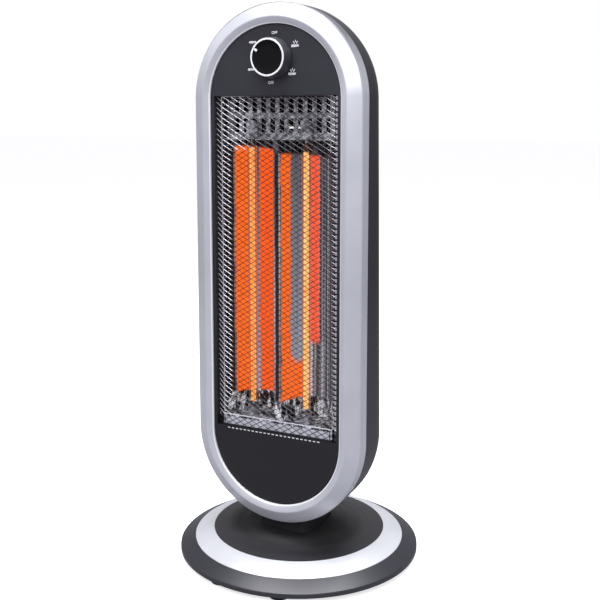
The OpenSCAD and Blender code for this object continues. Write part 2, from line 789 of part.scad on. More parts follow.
module grip_block(inset = 0) {
    w = grip_w / 2 - grip_round;
    h = grip_h / 2 - grip_round;
    r = grip_round - inset;
    translate([0, grip_y, grip_back]) linear_extrude(grip_overcut + grip_depth - inset) polygon(concat(
        arc(w, h, r, 0, 90, 6), arc(-w, h, r, 90, 180, 6), arc(-w, -h, r, 180, 270, 6),
        arc(w, -h, r, 270, 360, 6)));
}

// Middle heights of the two groups of rear vents
vent_group_l = (vent_rows - 1) * vent_pitch;
vent_groups = [window_bottom + 30, window_top - vent_group_l - 6];

module rear_vents() {
    for (g = vent_groups, i = [0:vent_rows - 1]) translate([0, g + i * vent_pitch, -half_w]) {
        translate([-vent_l / 2 + vent_h / 2, -vent_h / 2, 0]) cube([vent_l - vent_h, vent_h, half_w]);
        for (s = [-1, 1])
            translate([s * (vent_l - vent_h) / 2, 0, 0]) cylinder(r = vent_h / 2, h = half_w, $fn = 24);
    }
}

module rear_shell() {
    color([0.20, 0.20, 0.22]) front_frame() difference() {
        union() {
            difference() {
                shell_solid();
                shell_solid(shell_wall);
                translate([-2 * half_w, 0, ring_back]) cube([4 * half_w, body_top + half_w, half_w]);
            }
            // Lip that centres the front ring
            round_outline() polygon([[half_w - ring_wall - seat_gap - lip_t, ring_back - lip_root],
                [half_w - shell_wall / 2, ring_back - lip_root],
                [half_w - shell_wall / 2, ring_back - lip_step],
                [half_w - ring_wall - seat_gap, ring_back - lip_step],
                [half_w - ring_wall - seat_gap, lip_front],
                [half_w - ring_wall - seat_gap - lip_t, lip_front]]);
            // Screw posts and chassis posts grow from the inside of the back wall
            intersection() {
                shell_solid(1);
                union() {
                    for (p = fix_points)
                        translate([p[0], p[1], -half_w]) cylinder(r = post_r, h = half_w + lip_front);
                    for (p = chassis_points) translate([p[0], p[1], -half_w])
                        cylinder(r = post_r, h = half_w + chassis_back - sheet_t);
                    rotate([-90, 0, 0]) at_neck_screws(1)
                        translate([0, 0, -ring_side_front]) cylinder(r = post_r, h = ring_side_front);
                    grip_block();
                }
            }
        }
        for (p = fix_points) translate([p[0], p[1], -half_w]) {
            cylinder(r = SCREW_R + hole_play, h = 2 * half_w);
            cylinder(r = SCREW_HEAD_R + hole_play, h = half_w + screw_seat);
        }
        for (p = chassis_points)
            translate([p[0], p[1], chassis_back - chassis_screw_l - 3]) cylinder(r = SCREW_R, h = 10);
        rear_vents();
        grip_block(shell_wall);
        // Wires pass to the neck here
        translate([0, neck_bottom, 0])
            rotate([-90, 0, 0]) cylinder(r = tube_r - tube_wall, h = low_c - half_w);
        rotate([-90, 0, 0]) at_neck_screws() cylinder(r = SCREW_R + hole_play, h = low_c - half_w / 2);
    }
}

screw_seat = ring_back - 12;

// Front ring: a thin moulding whose section has a side wall, a sloping face, a crest and an inner bevel

// Ledge that the front panel sits on
ledge_w = 2.6;
ledge_t = 2;
// Roundings at the side wall, the crest and the inner edge
ring_side_round = 3;
ring_crest_round = 3;
ring_inner_round = 0.8;

module ring_section() {
    crest_r = half_w - ring_crest_inset;
    slope = atan2(ring_crest - ring_side_front - 0.8 * ring_side_round,
        ring_crest_inset - 0.4 * ring_side_round);
    polygon(concat(
        [[half_w, ring_back]],
        arc(half_w - ring_side_round, ring_side_front, ring_side_round, 0, 90 - slope, 4),
        arc(crest_r + 0.37 * ring_crest_round, ring_crest - ring_crest_round,
            ring_crest_round, 90 - slope, 100, 4),
        arc(inner_half_w + ring_inner_round, ring_inner_front - ring_inner_round,
            ring_inner_round, 120, 180, 3),
        [[inner_half_w, panel_back - seat_gap], [inner_half_w - ledge_w, panel_back - seat_gap],
         [inner_half_w - ledge_w, panel_back - ledge_t],
         [inner_half_w + 0.8 * ring_wall, panel_back - ledge_t],
         [inner_half_w + 0.8 * ring_wall, ring_inner_front - ring_wall],
         [crest_r, ring_crest - 1.1 * ring_wall],
         [half_w - 1.4 * ring_wall, ring_side_front + 0.2 * ring_wall],
         [half_w - ring_wall, ring_side_front - 0.4 * ring_wall], [half_w - ring_wall, ring_back]]));
}

module front_ring() {
    boss_front = ring_side_front + 5;
    color([0.74, 0.75, 0.79]) front_frame() difference() {
        union() {
            round_outline() ring_section();
            for (p = fix_points) translate([p[0], p[1], lip_front + seat_gap])
                cylinder(r = post_r, h = boss_front - lip_front);
        }
        for (p = fix_points)
            translate([p[0], p[1], ring_back]) cylinder(r = SCREW_R, h = boss_front - ring_back - 2);
    }
}

module housing_screws() {
    color([0.5, 0.5, 0.52]) front_frame() for (p = fix_points)
        translate([p[0], p[1], screw_seat]) screw(ring_side_front - 2 - screw_seat, r = SCREW_R - thread_fit);
}

// Front panel: control field, window frame and lower field in one black moulding

window_wall = 1.2;
// Flanges beside the reflector, between the chassis and the guard
flange_back = reflector_front + seat_gap;

module front_panel() {
    panel_r = inner_half_w - 0.2;
    color([0.16, 0.16, 0.18]) front_frame() difference() {
        union() {
            translate([0, 0, panel_back]) linear_extrude(panel_t) stadium(panel_r, 0);
            translate([0, 0, flange_back]) linear_extrude(panel_back - flange_back + eps)
                translate([-window_half_w, window_bottom - window_wall])
                    square([2 * window_half_w, window_top - window_bottom + 2 * window_wall]);
        }
        translate([0, 0, panel_front - window_depth]) linear_extrude(window_depth + 2)
            translate([-window_half_w + window_wall, window_bottom])
                square([2 * (window_half_w - window_wall), window_top - window_bottom]);
        translate([0, 0, flange_back - 1]) linear_extrude(window_depth)
            translate([-reflector_half_w - seat_gap, window_bottom])
                square([2 * (reflector_half_w + seat_gap), window_top - window_bottom]);
        translate([0, knob_z, panel_back - 1]) cylinder(r = bush_r + seat_gap, h = panel_t + 2);
    }
}

// Guard: diamond mesh with solid edges and folded sides

guard_half_w = window_half_w - window_wall - 0.3;
guard_low = window_bottom + 0.3;
guard_high = window_top - 0.3;

// One diamond opening of the mesh; a side set to 0 is cut off flat
module mesh_gap(half_gap_w, half_gap_h, left = 1, right = 1, up = 1, down = 1) {
    polygon([[right * half_gap_w, 0], [0, up * half_gap_h], [-left * half_gap_w, 0],
        [0, -down * half_gap_h]]);
}

module front_guard() {
    w = 2 * guard_half_w;
    h = guard_high - guard_low;
    cell_w = w / guard_columns;
    cell_h = h / guard_rows;
    angle = atan2(cell_h, cell_w);
    gap_w = cell_w / 2 - strand_w / 2 / sin(angle);
    gap_h = cell_h / 2 - strand_w / 2 / cos(angle);
    color([0.82, 0.83, 0.85]) front_frame() {
        translate([-guard_half_w, guard_low, guard_front - guard_t]) linear_extrude(guard_t) {
            difference() {
                square([w, h]);
                for (i = [0:guard_columns - 1], j = [0:guard_rows - 1])
                    translate([(i + 0.5) * cell_w, (j + 0.5) * cell_h]) mesh_gap(gap_w, gap_h);
                for (i = [1:guard_columns - 1], j = [1:guard_rows - 1])
                    translate([i * cell_w, j * cell_h]) mesh_gap(gap_w, gap_h);
                // Half openings along the four edges
                for (j = [1:guard_rows - 1]) {
                    translate([guard_edge, j * cell_h])
                        mesh_gap(gap_w - guard_edge, gap_h * (1 - guard_edge / gap_w), left = 0);
                    translate([w - guard_edge, j * cell_h])
                        mesh_gap(gap_w - guard_edge, gap_h * (1 - guard_edge / gap_w), right = 0);
                }
                for (i = [1:guard_columns - 1]) {
                    translate([i * cell_w, guard_edge])
                        mesh_gap(gap_w * (1 - guard_edge / gap_h), gap_h - guard_edge, down = 0);
                    translate([i * cell_w, h - guard_edge])
                        mesh_gap(gap_w * (1 - guard_edge / gap_h), gap_h - guard_edge, up = 0);
                }
            }
        }
        for (s = [-1, 1])
            translate([s * (guard_half_w - guard_t / 2) - guard_t / 2, guard_low,
                guard_front - guard_return + seat_gap])
            cube([guard_t, h, guard_return - seat_gap]);
    }
}

// Chassis, reflector and brackets

chassis_low = window_bottom + 2;
chassis_high = window_top - 2;
chassis_half_w = reflector_half_w + seat_gap + sheet_t;
// Air slots behind the upper end of the reflector
air_slot = [48, 4];
air_slot_n = 5;
air_slot_pitch = 12;
air_slot_top = 22;

module chassis_plate() {
    color([0.66, 0.66, 0.68]) front_frame() difference() {
        union() {
            translate([-chassis_half_w, chassis_low, chassis_back - sheet_t])
                cube([2 * chassis_half_w, chassis_high - chassis_low, sheet_t]);
            for (s = [-1, 1])
                translate([s * (chassis_half_w - sheet_t / 2) - sheet_t / 2, chassis_low,
                    chassis_back - eps])
                cube([sheet_t, chassis_high - chassis_low, reflector_front - chassis_back]);
        }
        for (p = chassis_points)
            translate([p[0], p[1], chassis_back - 5]) cylinder(r = SCREW_R + hole_play, h = 10);
        for (i = [0:air_slot_n - 1])
            translate([-air_slot[0] / 2, chassis_high - air_slot_top - i * air_slot_pitch, chassis_back - 5])
                cube([air_slot[0], air_slot[1], 10]);
    }
}

module chassis_screws() {
    color([0.5, 0.5, 0.52]) front_frame() for (p = chassis_points)
        translate([p[0], p[1], chassis_back])
            rotate([180, 0, 0]) screw(chassis_screw_l, r = SCREW_R - thread_fit);
}

// Section of the two troughs: straight side walls, round backs and a flat-topped ridge between them
trough_half_w = tube_x * 5 / 7;
trough_depth = 20;
ridge_half_w = 4;
trough_side = [8, 12];
trough = let (w = reflector_half_w - sheet_t, d = reflector_back, x = tube_x)
    concat([[w, reflector_front], [w - trough_side[0], reflector_front - trough_side[1]]],
        [for (i = [0:arc_steps]) let (a = 20 + 140 * i / arc_steps)
            [x + trough_half_w * cos(a), d + trough_depth - trough_depth * sin(a)]],
        [[ridge_half_w, ridge_front]]);
reflector_face = concat(trough, [for (i = [len(trough) - 1:-1:0]) [-trough[i][0], trough[i][1]]]);

// The sheet's thickness at point i of its face, measured squarely and to the rear
function sheet_back(i) =
    let (face = reflector_face, along = face[min(i + 1, len(face) - 1)] - face[max(i - 1, 0)])
    sheet_t * [-along[1], along[0]] / norm(along);

module reflector_section() {
    polygon(concat(reflector_face,
        [for (i = [len(reflector_face) - 1:-1:0]) reflector_face[i] + sheet_back(i)]));
}

module reflector() {
    color([0.86, 0.86, 0.88]) front_frame() translate([0, reflector_top, 0]) rotate([90, 0, 0])
        linear_extrude(reflector_top - reflector_bottom) reflector_section();
}

// Folded sheet above the troughs with two rows of air slots
row_gap = 6;
slot_row_top = window_top - 3;
slot_sheet_low = reflector_top + sheet_t + 2 * seat_gap;

module slotted_sheet() {
    color([0.78, 0.78, 0.8]) front_frame() difference() {
        translate([-reflector_half_w, slot_sheet_low, slot_sheet_front - sheet_t])
            cube([2 * reflector_half_w, chassis_high - slot_sheet_low, sheet_t]);
        for (i = [0:slot_count - 1], j = [0, 1])
            translate([(i - (slot_count - 1) / 2) * slot_pitch - slot_w / 2,
                slot_row_top - slot_h - j * (slot_h + row_gap), slot_sheet_front - 5])
                cube([slot_w, slot_h, 10]);
    }
}

// Shelf across the tubes' ends, from the chassis plate forward, with a round seat for each tube
module tube_shelf(y, front, seat_r) {
    difference() {
        translate([-reflector_half_w, y, chassis_back])
            cube([2 * reflector_half_w, sheet_t, front - chassis_back]);
        for (s = [-1, 1]) translate([s * tube_x, y - 1, tube_front])
            rotate([-90, 0, 0]) cylinder(r = seat_r, h = sheet_t + 2);
        for (s = [-1, 1]) translate([s * tube_x - seat_r, y - 1, tube_front])
            cube([2 * seat_r, sheet_t + 2, cap_r + seat_gap]);
    }
}

// Front lip of the lower bracket, just ahead of the caps
lip_z = tube_front + cap_r + 2 * seat_gap;
lip_drop = 11;
low_shelf_y = reflector_bottom - seat_gap - sheet_t;
high_shelf_y = reflector_top + seat_gap;

module lower_bracket() {
    color([0.84, 0.84, 0.86]) front_frame() {
        tube_shelf(low_shelf_y, lip_z + eps, cap_r + seat_gap);
        translate([-reflector_half_w, low_shelf_y - lip_drop, lip_z])
            cube([2 * reflector_half_w, lip_drop + sheet_t, sheet_t]);
    }
}

module upper_bracket() {
    color([0.8, 0.8, 0.82]) front_frame() tube_shelf(high_shelf_y, reflector_front, glass_r + 0.3);
}

// Heating tubes

module at_tubes() {
    front_frame() for (s = [-1, 1]) translate([s * tube_x, 0, tube_front]) children();
}

module glass_tubes() {
    color([0.95, 0.85, 0.8, 0.35]) at_tubes() translate([0, glass_bottom, 0]) rotate([-90, 0, 0])
        tube(glass_r, glass_r - glass_wall, glass_top - glass_bottom);
}

// Cold ends of the glass, beyond the carbon strip
cold_end = 12;
strip_low = glass_bottom + cold_end;
strip_high = glass_top - cold_end;
rod_r = 1.2;
// How far each cap is pushed over the glass
cap_socket = 8;

module carbon_strips() {
    color([1, 0.55, 0.15]) at_tubes() translate([-strip_w / 2, strip_low, -strip_t / 2])
        cube([strip_w, strip_high - strip_low, strip_t]);
}

// Metal rods that join each strip to the seals in the caps
module tube_terminals() {
    color([0.7, 0.7, 0.72]) at_tubes() {
        translate([0, strip_high + 0.05, 0]) rotate([-90, 0, 0]) cylinder(r = rod_r, h = cold_end + 1);
        translate([0, strip_low - 0.05, 0]) rotate([90, 0, 0]) cylinder(r = rod_r, h = cold_end + 1);
    }
}

module end_caps() {
    color([0.93, 0.92, 0.88]) at_tubes() {
        for (end = [[glass_top, 1], [glass_bottom, -1]])
            translate([0, end[0], 0])
            rotate([-90 * end[1], 0, 0]) translate([0, 0, -cap_socket]) difference() {
                cylinder(r = cap_r, h = cap_l);
                translate([0, 0, -1]) cylinder(r = glass_r + 0.1, h = cap_socket + 1.1);
                translate([0, 0, cap_socket - 1]) cylinder(r = rod_r + 0.1, h = cap_l);
            }
    }
}

// Safety cut-out on the chassis plate, between the troughs
cutout_drop = 60;
cutout_r = 8;
cutout_t = 5;
cutout_cap_r = 5.5;
cutout_cap_t = 3;

module thermal_cutout() {
    color([0.75, 0.72, 0.65])
    front_frame() translate([0, reflector_top - cutout_drop, chassis_back + seat_gap]) {
        cylinder(r = cutout_r, h = cutout_t);
        translate([0, 0, cutout_t]) cylinder(r = cutout_cap_r, h = cutout_cap_t);
    }
}

// Control knob and its switch

bush_r = 5;
bush_reach = 4.5;
nut_w = 3;
nut_t = 2.4;
switch_half = 15;
switch_depth = 18;
switch_front = panel_back - seat_gap;
switch_back = switch_front - switch_depth;
// Flat terminals on the back of the switch
tab_size = [4.8, 0.8, 7];
tab_pitch = 9;
spindle_seat = 3;
// Depth of the knob's face over the spindle's end
knob_face_t = 4;

module rotary_switch() {
    color([0.15, 0.15, 0.16]) front_frame() translate([0, knob_z, 0]) difference() {
        union() {
            translate([-switch_half, -switch_half, switch_back])
                cube([2 * switch_half, 2 * switch_half, switch_front - switch_back]);
            translate([0, 0, switch_front - eps])
                cylinder(r = bush_r, h = panel_front + bush_reach - switch_front);
            for (i = [-1:1]) translate([i * tab_pitch - tab_size[0] / 2, -bush_r, switch_back - tab_size[2]])
                cube([tab_size[0], tab_size[1], tab_size[2] + eps]);
        }
        translate([0, 0, switch_back + spindle_seat])
            cylinder(r = spindle_r + shaft_fit, h = 2 * switch_depth);
    }
}

module switch_nut() {
    color([0.75, 0.75, 0.76]) front_frame() translate([0, knob_z, panel_front + seat_gap]) difference() {
        cylinder(r = bush_r + nut_w, h = nut_t, $fn = 6);
        translate([0, 0, -1]) cylinder(r = bush_r + seat_gap, h = nut_t + 2);
    }
}

module switch_spindle() {
    spindle_back = switch_back + spindle_seat + 0.4;
    color([0.72, 0.72, 0.74]) front_frame() translate([0, knob_z, spindle_back])
        cylinder(r = spindle_r, h = knob_front - knob_face_t - spindle_back);
}

ring_line_w = 2.2;
ring_line_t = 0.6;
pointer_w = 2.6;
pointer_l = 4;

module knob_body() {
    back = panel_front + knob_gap;
    color([0.07, 0.07, 0.08]) front_frame() translate([0, knob_z, 0]) difference() {
        rotate_extrude($fn = 96) polygon([[0, back], [knob_base_r - 0.6, back], [knob_base_r, back + 0.8],
            [knob_face_r, knob_front - 1], [knob_face_r - 0.4, knob_front - ring_line_t],
            [knob_face_r - ring_line_w, knob_front - ring_line_t],
            [knob_face_r - ring_line_w, knob_front - 0.2],
            [0, knob_front - 0.6]]);
        // Hollow round the bush and its nut, and the spindle's seat
        translate([0, 0, back - 1]) cylinder(r = knob_base_r - 4, h = bush_reach + 2.1);
        translate([0, 0, back - 1])
            cylinder(r = spindle_r + 0.02, h = knob_front - knob_face_t - back + 1.02);
        rotate([0, 0, pointer_angle])
            translate([-pointer_w / 2 - 0.05, knob_face_r - ring_line_w - pointer_l - seat_gap,
                knob_front - 1.2])
            cube([pointer_w + seat_gap, pointer_l + 2 * seat_gap, 3]);
    }
}

module knob_ring() {
    color([0.95, 0.95, 0.95]) front_frame() translate([0, knob_z, knob_front - ring_line_t + 0.02])
        tube(knob_face_r - 0.4, knob_face_r - ring_line_w + 0.05, ring_line_t);
}

// White mark at the chosen position, to the left of the top at rest
pointer_angle = 60;

module knob_pointer() {
    color([0.95, 0.95, 0.95]) front_frame() translate([0, knob_z, 0]) rotate([0, 0, pointer_angle])
        translate([-pointer_w / 2, knob_face_r - ring_line_w - pointer_l - 0.05, knob_front - 1.18])
            cube([pointer_w, pointer_l, 1.1]);
}

base_cover();
base_trim_ring();
bottom_plate();
rubber_feet();
base_screws();
cord_gland();
terminal_block();
thrust_washer();
gear_motor();
motor_screws();
motor_shaft();
crank();
crank_roller();
tip_switch_housing();
tip_microswitch();
tip_plunger();
plunger_spring();
neck();
neck_screws();
retaining_clip();
swing_arm();
swing_arm_screws();
rear_shell();
front_ring();
front_panel();
front_guard();
housing_screws();
chassis_plate();
chassis_screws();
reflector();
slotted_sheet();
lower_bracket();
upper_bracket();
glass_tubes();
carbon_strips();
tube_terminals();
end_caps();
thermal_cutout();
rotary_switch();
switch_nut();
switch_spindle();
knob_body();
knob_ring();
knob_pointer();
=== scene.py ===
import math

import bmesh
import bpy
from mathutils import Matrix, Vector


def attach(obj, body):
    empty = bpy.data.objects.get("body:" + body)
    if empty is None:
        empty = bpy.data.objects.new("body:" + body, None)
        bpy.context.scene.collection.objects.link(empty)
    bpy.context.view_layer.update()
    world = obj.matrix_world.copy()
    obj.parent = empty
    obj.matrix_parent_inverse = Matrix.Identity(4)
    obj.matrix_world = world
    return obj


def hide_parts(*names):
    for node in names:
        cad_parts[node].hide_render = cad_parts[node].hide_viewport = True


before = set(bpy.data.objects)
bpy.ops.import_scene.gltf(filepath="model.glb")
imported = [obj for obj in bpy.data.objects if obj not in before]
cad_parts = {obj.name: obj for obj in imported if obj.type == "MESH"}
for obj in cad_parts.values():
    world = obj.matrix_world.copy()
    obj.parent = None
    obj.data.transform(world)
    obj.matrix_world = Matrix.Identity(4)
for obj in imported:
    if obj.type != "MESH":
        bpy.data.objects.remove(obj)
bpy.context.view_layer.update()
mm = 0.001

# the heater's main sizes in mm, shared by the pieces below
housing = dict(halfWidth=103, low=155, high=531, top=634, ringBack=40, steps=130)
axis = 0.0005  # a radius in mm so small that its ring merges into one point
tiny = 1e-6  # metres


def deselectAll():
    if bpy.context.mode != "OBJECT":
        bpy.ops.object.mode_set(mode="OBJECT")
    bpy.ops.object.select_all(action="DESELECT")


def only(piece):
    # makes one piece the selected and active one
    deselectAll()
    piece.select_set(True)
    bpy.context.view_layer.objects.active = piece


def editing(piece, kind="VERT"):
    only(piece)
    bpy.ops.object.mode_set(mode="EDIT")
    bpy.ops.mesh.select_mode(type=kind)
    bpy.ops.mesh.select_all(action="DESELECT")


def pickVerts(piece, test):
    bpy.ops.mesh.select_all(action="DESELECT")
    mesh = bmesh.from_edit_mesh(piece.data)
    for vert in mesh.verts:
        if test(vert.co):
            vert.select = True
    mesh.select_flush(True)
    bmesh.update_edit_mesh(piece.data)


def pickEdges(piece, test):
    # the test gets an edge's two ends
    mesh = bmesh.from_edit_mesh(piece.data)
    for edge in mesh.edges:
        edge.select = test(edge.verts[0].co, edge.verts[1].co)
    bmesh.update_edit_mesh(piece.data)


def pickFaces(piece, test):
    mesh = bmesh.from_edit_mesh(piece.data)
    for face in mesh.faces:
        face.select = test(face)
    bmesh.update_edit_mesh(piece.data)


def applyPlace(piece):
    only(piece)
    bpy.ops.object.transform_apply(location=True, rotation=True, scale=True)


def applyAll(piece):
    only(piece)
    for modifier in list(piece.modifiers):
        bpy.ops.object.modifier_apply(modifier=modifier.name)


def standUp(piece):
    # front pieces are modelled lying down: Y becomes up and Z becomes forward
    piece.rotation_euler = (math.pi / 2, 0, 0)
    applyPlace(piece)


def smoothEdges(piece, angle):
    # shades smooth, but for the edges sharper than the angle
    only(piece)
    bpy.ops.object.shade_smooth_by_angle(angle=math.radians(angle))


def finishPiece(piece, finish, body, slotName, *nodes):
    piece.data.materials.clear()
    piece.data.materials.append(finish)
    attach(piece, body)
    if nodes:
        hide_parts(*nodes)


def copyOf(piece):
    only(piece)
    bpy.ops.object.duplicate()
    return bpy.context.object


def joinPieces(name, pieces):
    deselectAll()
    for piece in pieces:
        piece.select_set(True)
    bpy.context.view_layer.objects.active = pieces[0]
    if len(pieces) > 1:
        bpy.ops.object.join()
    pieces[0].name = name
    return pieces[0]


def combine(piece, other, operation):
    # unites, cuts or intersects the piece with the other, which is used up
    change = piece.modifiers.new("shape", "BOOLEAN")
    change.operation = operation
    change.solver = "EXACT"
    change.object = other
    applyAll(piece)
    bpy.data.objects.remove(other)


def repeat(piece, count, step):
    # a row of copies, each a step in mm past the last
    row = piece.modifiers.new("repeat", "ARRAY")
    row.use_relative_offset = False
    row.use_constant_offset = True
    row.constant_offset_displace = [value * mm for value in step]
    row.count = count
    applyAll(piece)


def box(name, size, middle):
    deselectAll()
    bpy.ops.mesh.primitive_cube_add(size=1, location=[value * mm for value in middle])
    piece = bpy.context.object
    piece.name = name
    piece.scale = [value * mm for value in size]
    applyPlace(piece)
    return piece


def roundCorners(piece, radius, segments=8):
    # rounds the four edges that run along Z
    editing(piece, "EDGE")
    pickEdges(piece, lambda a, b: abs(a.x - b.x) + abs(a.y - b.y) < tiny)
    bpy.ops.mesh.bevel(offset=radius * mm, segments=segments)
    bpy.ops.object.mode_set(mode="OBJECT")


def rod(name, radius, low, high, middle=(0, 0), steps=32):
    # a round bar along Z
    deselectAll()
    place = (middle[0] * mm, middle[1] * mm, (low + high) / 2 * mm)
    bpy.ops.mesh.primitive_cylinder_add(vertices=steps, radius=radius * mm, depth=(high - low) * mm,
                                        location=place)
    piece = bpy.context.object
    piece.name = name
    applyPlace(piece)
    return piece


def turned(name, profile, steps, closed=False, filled=False):
    # a ring of edges is drawn out along the profile [radius, height]
    deselectAll()
    radius, height = profile[0]
    bpy.ops.mesh.primitive_circle_add(vertices=steps, radius=radius * mm, location=(0, 0, height * mm))
    piece = bpy.context.object
    piece.name = name
    applyPlace(piece)
    editing(piece)
    bpy.ops.mesh.select_all(action="SELECT")
    for nextRadius, nextHeight in profile[1:] + ([profile[0]] if closed else []):
        lift = (0, 0, (nextHeight - height) * mm)
        bpy.ops.mesh.extrude_edges_move(TRANSFORM_OT_translate={"value": lift})
        grow = nextRadius / radius
        bpy.ops.transform.resize(value=(grow, grow, 1), center_override=(0, 0, 0))
        radius, height = nextRadius, nextHeight
    bpy.ops.mesh.select_all(action="SELECT")
    bpy.ops.mesh.remove_doubles(threshold=tiny)
    if filled:
        bpy.ops.mesh.fill_holes(sides=0)
    bpy.ops.mesh.select_all(action="SELECT")
    bpy.ops.mesh.normals_make_consistent(inside=False)
    bpy.ops.object.mode_set(mode="OBJECT")
    return piece


def stretchUpright(piece):
    # the round piece's upper half goes up to the housing's upper centre, its lower half to the lower one
    editing(piece)
    for side, centre in ((1, housing["high"]), (-1, housing["low"])):
        pickVerts(piece, lambda co: co.y * side > tiny)
        bpy.ops.transform.translate(value=(0, centre * mm, 0))
    bpy.ops.object.mode_set(mode="OBJECT")


def arcPoints(middleX, middleY, radius, start, end, steps):
    angles = [math.radians(start + (end - start) * i / steps) for i in range(steps + 1)]
    return [(middleX + radius * math.cos(angle), middleY + radius * math.sin(angle)) for angle in angles]


def newFinish(name):
    finish = bpy.data.materials.new(name)
    finish.use_nodes = True
    tree = finish.node_tree
    return finish, tree, tree.nodes["Principled BSDF"]


def feed(tree, target, value):
    # a socket is linked to the target, any other value is set on it
    if isinstance(value, bpy.types.NodeSocket):
        tree.links.new(value, target)
    else:
        target.default_value = value


# short names for what a finish is given
inputNames = dict(tint="Base Color", rough="Roughness", metal="Metallic", coat="Coat Weight",
                  coatRough="Coat Roughness", sheen="Specular IOR Level", clear="Transmission Weight",
                  bend="IOR", glowTint="Emission Color", glowPower="Emission Strength")


def dress(tree, shader, **values):
    for name, value in values.items():
        feed(tree, shader.inputs[inputNames[name]], value)


def applyPaint(tree, shader, paint, patches, **values):
    # the paint's plain values, a roughness that follows the patches, the values given, and the grain
    plain = {name: paint[name] for name in ("metal", "coat", "coatRough", "sheen") if name in paint}
    dress(tree, shader, rough=rangeTo(tree, patches, *paint["rough"]), **plain, **values)
    addGrain(tree, shader, *paint["grain"])


def linkNoise(tree, scale, detail=3, stretch=(1, 1, 1), rough=0.55):
    place = tree.nodes.new("ShaderNodeTexCoord")
    mapping = tree.nodes.new("ShaderNodeMapping")
    mapping.inputs["Scale"].default_value = stretch
    noise = tree.nodes.new("ShaderNodeTexNoise")
    noise.inputs["Scale"].default_value = scale
    noise.inputs["Detail"].default_value = detail
    noise.inputs["Roughness"].default_value = rough
    tree.links.new(place.outputs["Object"], mapping.inputs["Vector"])
    tree.links.new(mapping.outputs["Vector"], noise.inputs["Vector"])
    return noise.outputs["Fac"]


def tintBetween(tree, source, dark, light, low=0.35, high=0.65):
    ramp = tree.nodes.new("ShaderNodeValToRGB")
    ramp.color_ramp.elements[0].position = low
    ramp.color_ramp.elements[0].color = (*dark, 1)
    ramp.color_ramp.elements[1].position = high
    ramp.color_ramp.elements[1].color = (*light, 1)
    tree.links.new(source, ramp.inputs["Fac"])
    return ramp.outputs["Color"]


def mottled(tree, patches, colour, share=1):
    # the colour, and in patches only a share of it
    return tintBetween(tree, patches, [value * share for value in colour], colour)


def rangeTo(tree, source, low, high, fromLow=0, fromHigh=1):
    span = tree.nodes.new("ShaderNodeMapRange")
    span.inputs["From Min"].default_value = fromLow
    span.inputs["From Max"].default_value = fromHigh
    span.inputs["To Min"].default_value = low
    span.inputs["To Max"].default_value = high
    tree.links.new(source, span.inputs["Value"])
    return span.outputs["Result"]


def risen(tree, source, low, high):
    # 0 up to the low place and 1 from the high one, both in mm
    return rangeTo(tree, source, 0, 1, low * mm, high * mm)


def fallen(tree, source, low, high):
    # 1 up to the low place and 0 from the high one
    return rangeTo(tree, source, 1, 0, low * mm, high * mm)


def calculate(tree, operation, first, second=0):
    # each input is a socket or a number
    result = tree.nodes.new("ShaderNodeMath")
    result.operation = operation
    feed(tree, result.inputs[0], first)
    feed(tree, result.inputs[1], second)
    return result.outputs["Value"]


def lengthOf(tree, first, second):
    firstSquare, secondSquare = [calculate(tree, "MULTIPLY", value, value) for value in (first, second)]
    return calculate(tree, "SQRT", calculate(tree, "ADD", firstSquare, secondSquare))


def mixColours(tree, factor, first, second):
    blend = tree.nodes.new("ShaderNodeMix")
    blend.data_type = "RGBA"
    inputs = [socket for socket in blend.inputs if socket.enabled]
    for socket, source in zip(inputs, (factor, first, second)):
        tree.links.new(source, socket)
    return [socket for socket in blend.outputs if socket.enabled][0]


def bandRamp(tree, source, bands, half, kind="CONSTANT"):
    # each colour starts at its place in mm, between -half and half
    ramp = tree.nodes.new("ShaderNodeValToRGB")
    points = ramp.color_ramp.elements
    while len(points) < len(bands):
        points.new(1)
    ramp.color_ramp.interpolation = kind
    for point, (place, colour) in zip(points, bands):
        point.position = (place + half) / (2 * half)
        point.color = (*colour, 1)
    tree.links.new(source, ramp.inputs["Fac"])
    return ramp.outputs["Color"]


def addGrain(tree, shader, scale, strength, distance=0.0002, stretch=(1, 1, 1)):
    bump = tree.nodes.new("ShaderNodeBump")
    bump.inputs["Strength"].default_value = strength
    bump.inputs["Distance"].default_value = distance
    tree.links.new(linkNoise(tree, scale, 2, stretch), bump.inputs["Height"])
    tree.links.new(bump.outputs["Normal"], shader.inputs["Normal"])


def objectPlace(tree, output="Object"):
    place = tree.nodes.new("ShaderNodeTexCoord")
    parts = tree.nodes.new("ShaderNodeSeparateXYZ")
    tree.links.new(place.outputs[output], parts.inputs["Vector"])
    return parts.outputs


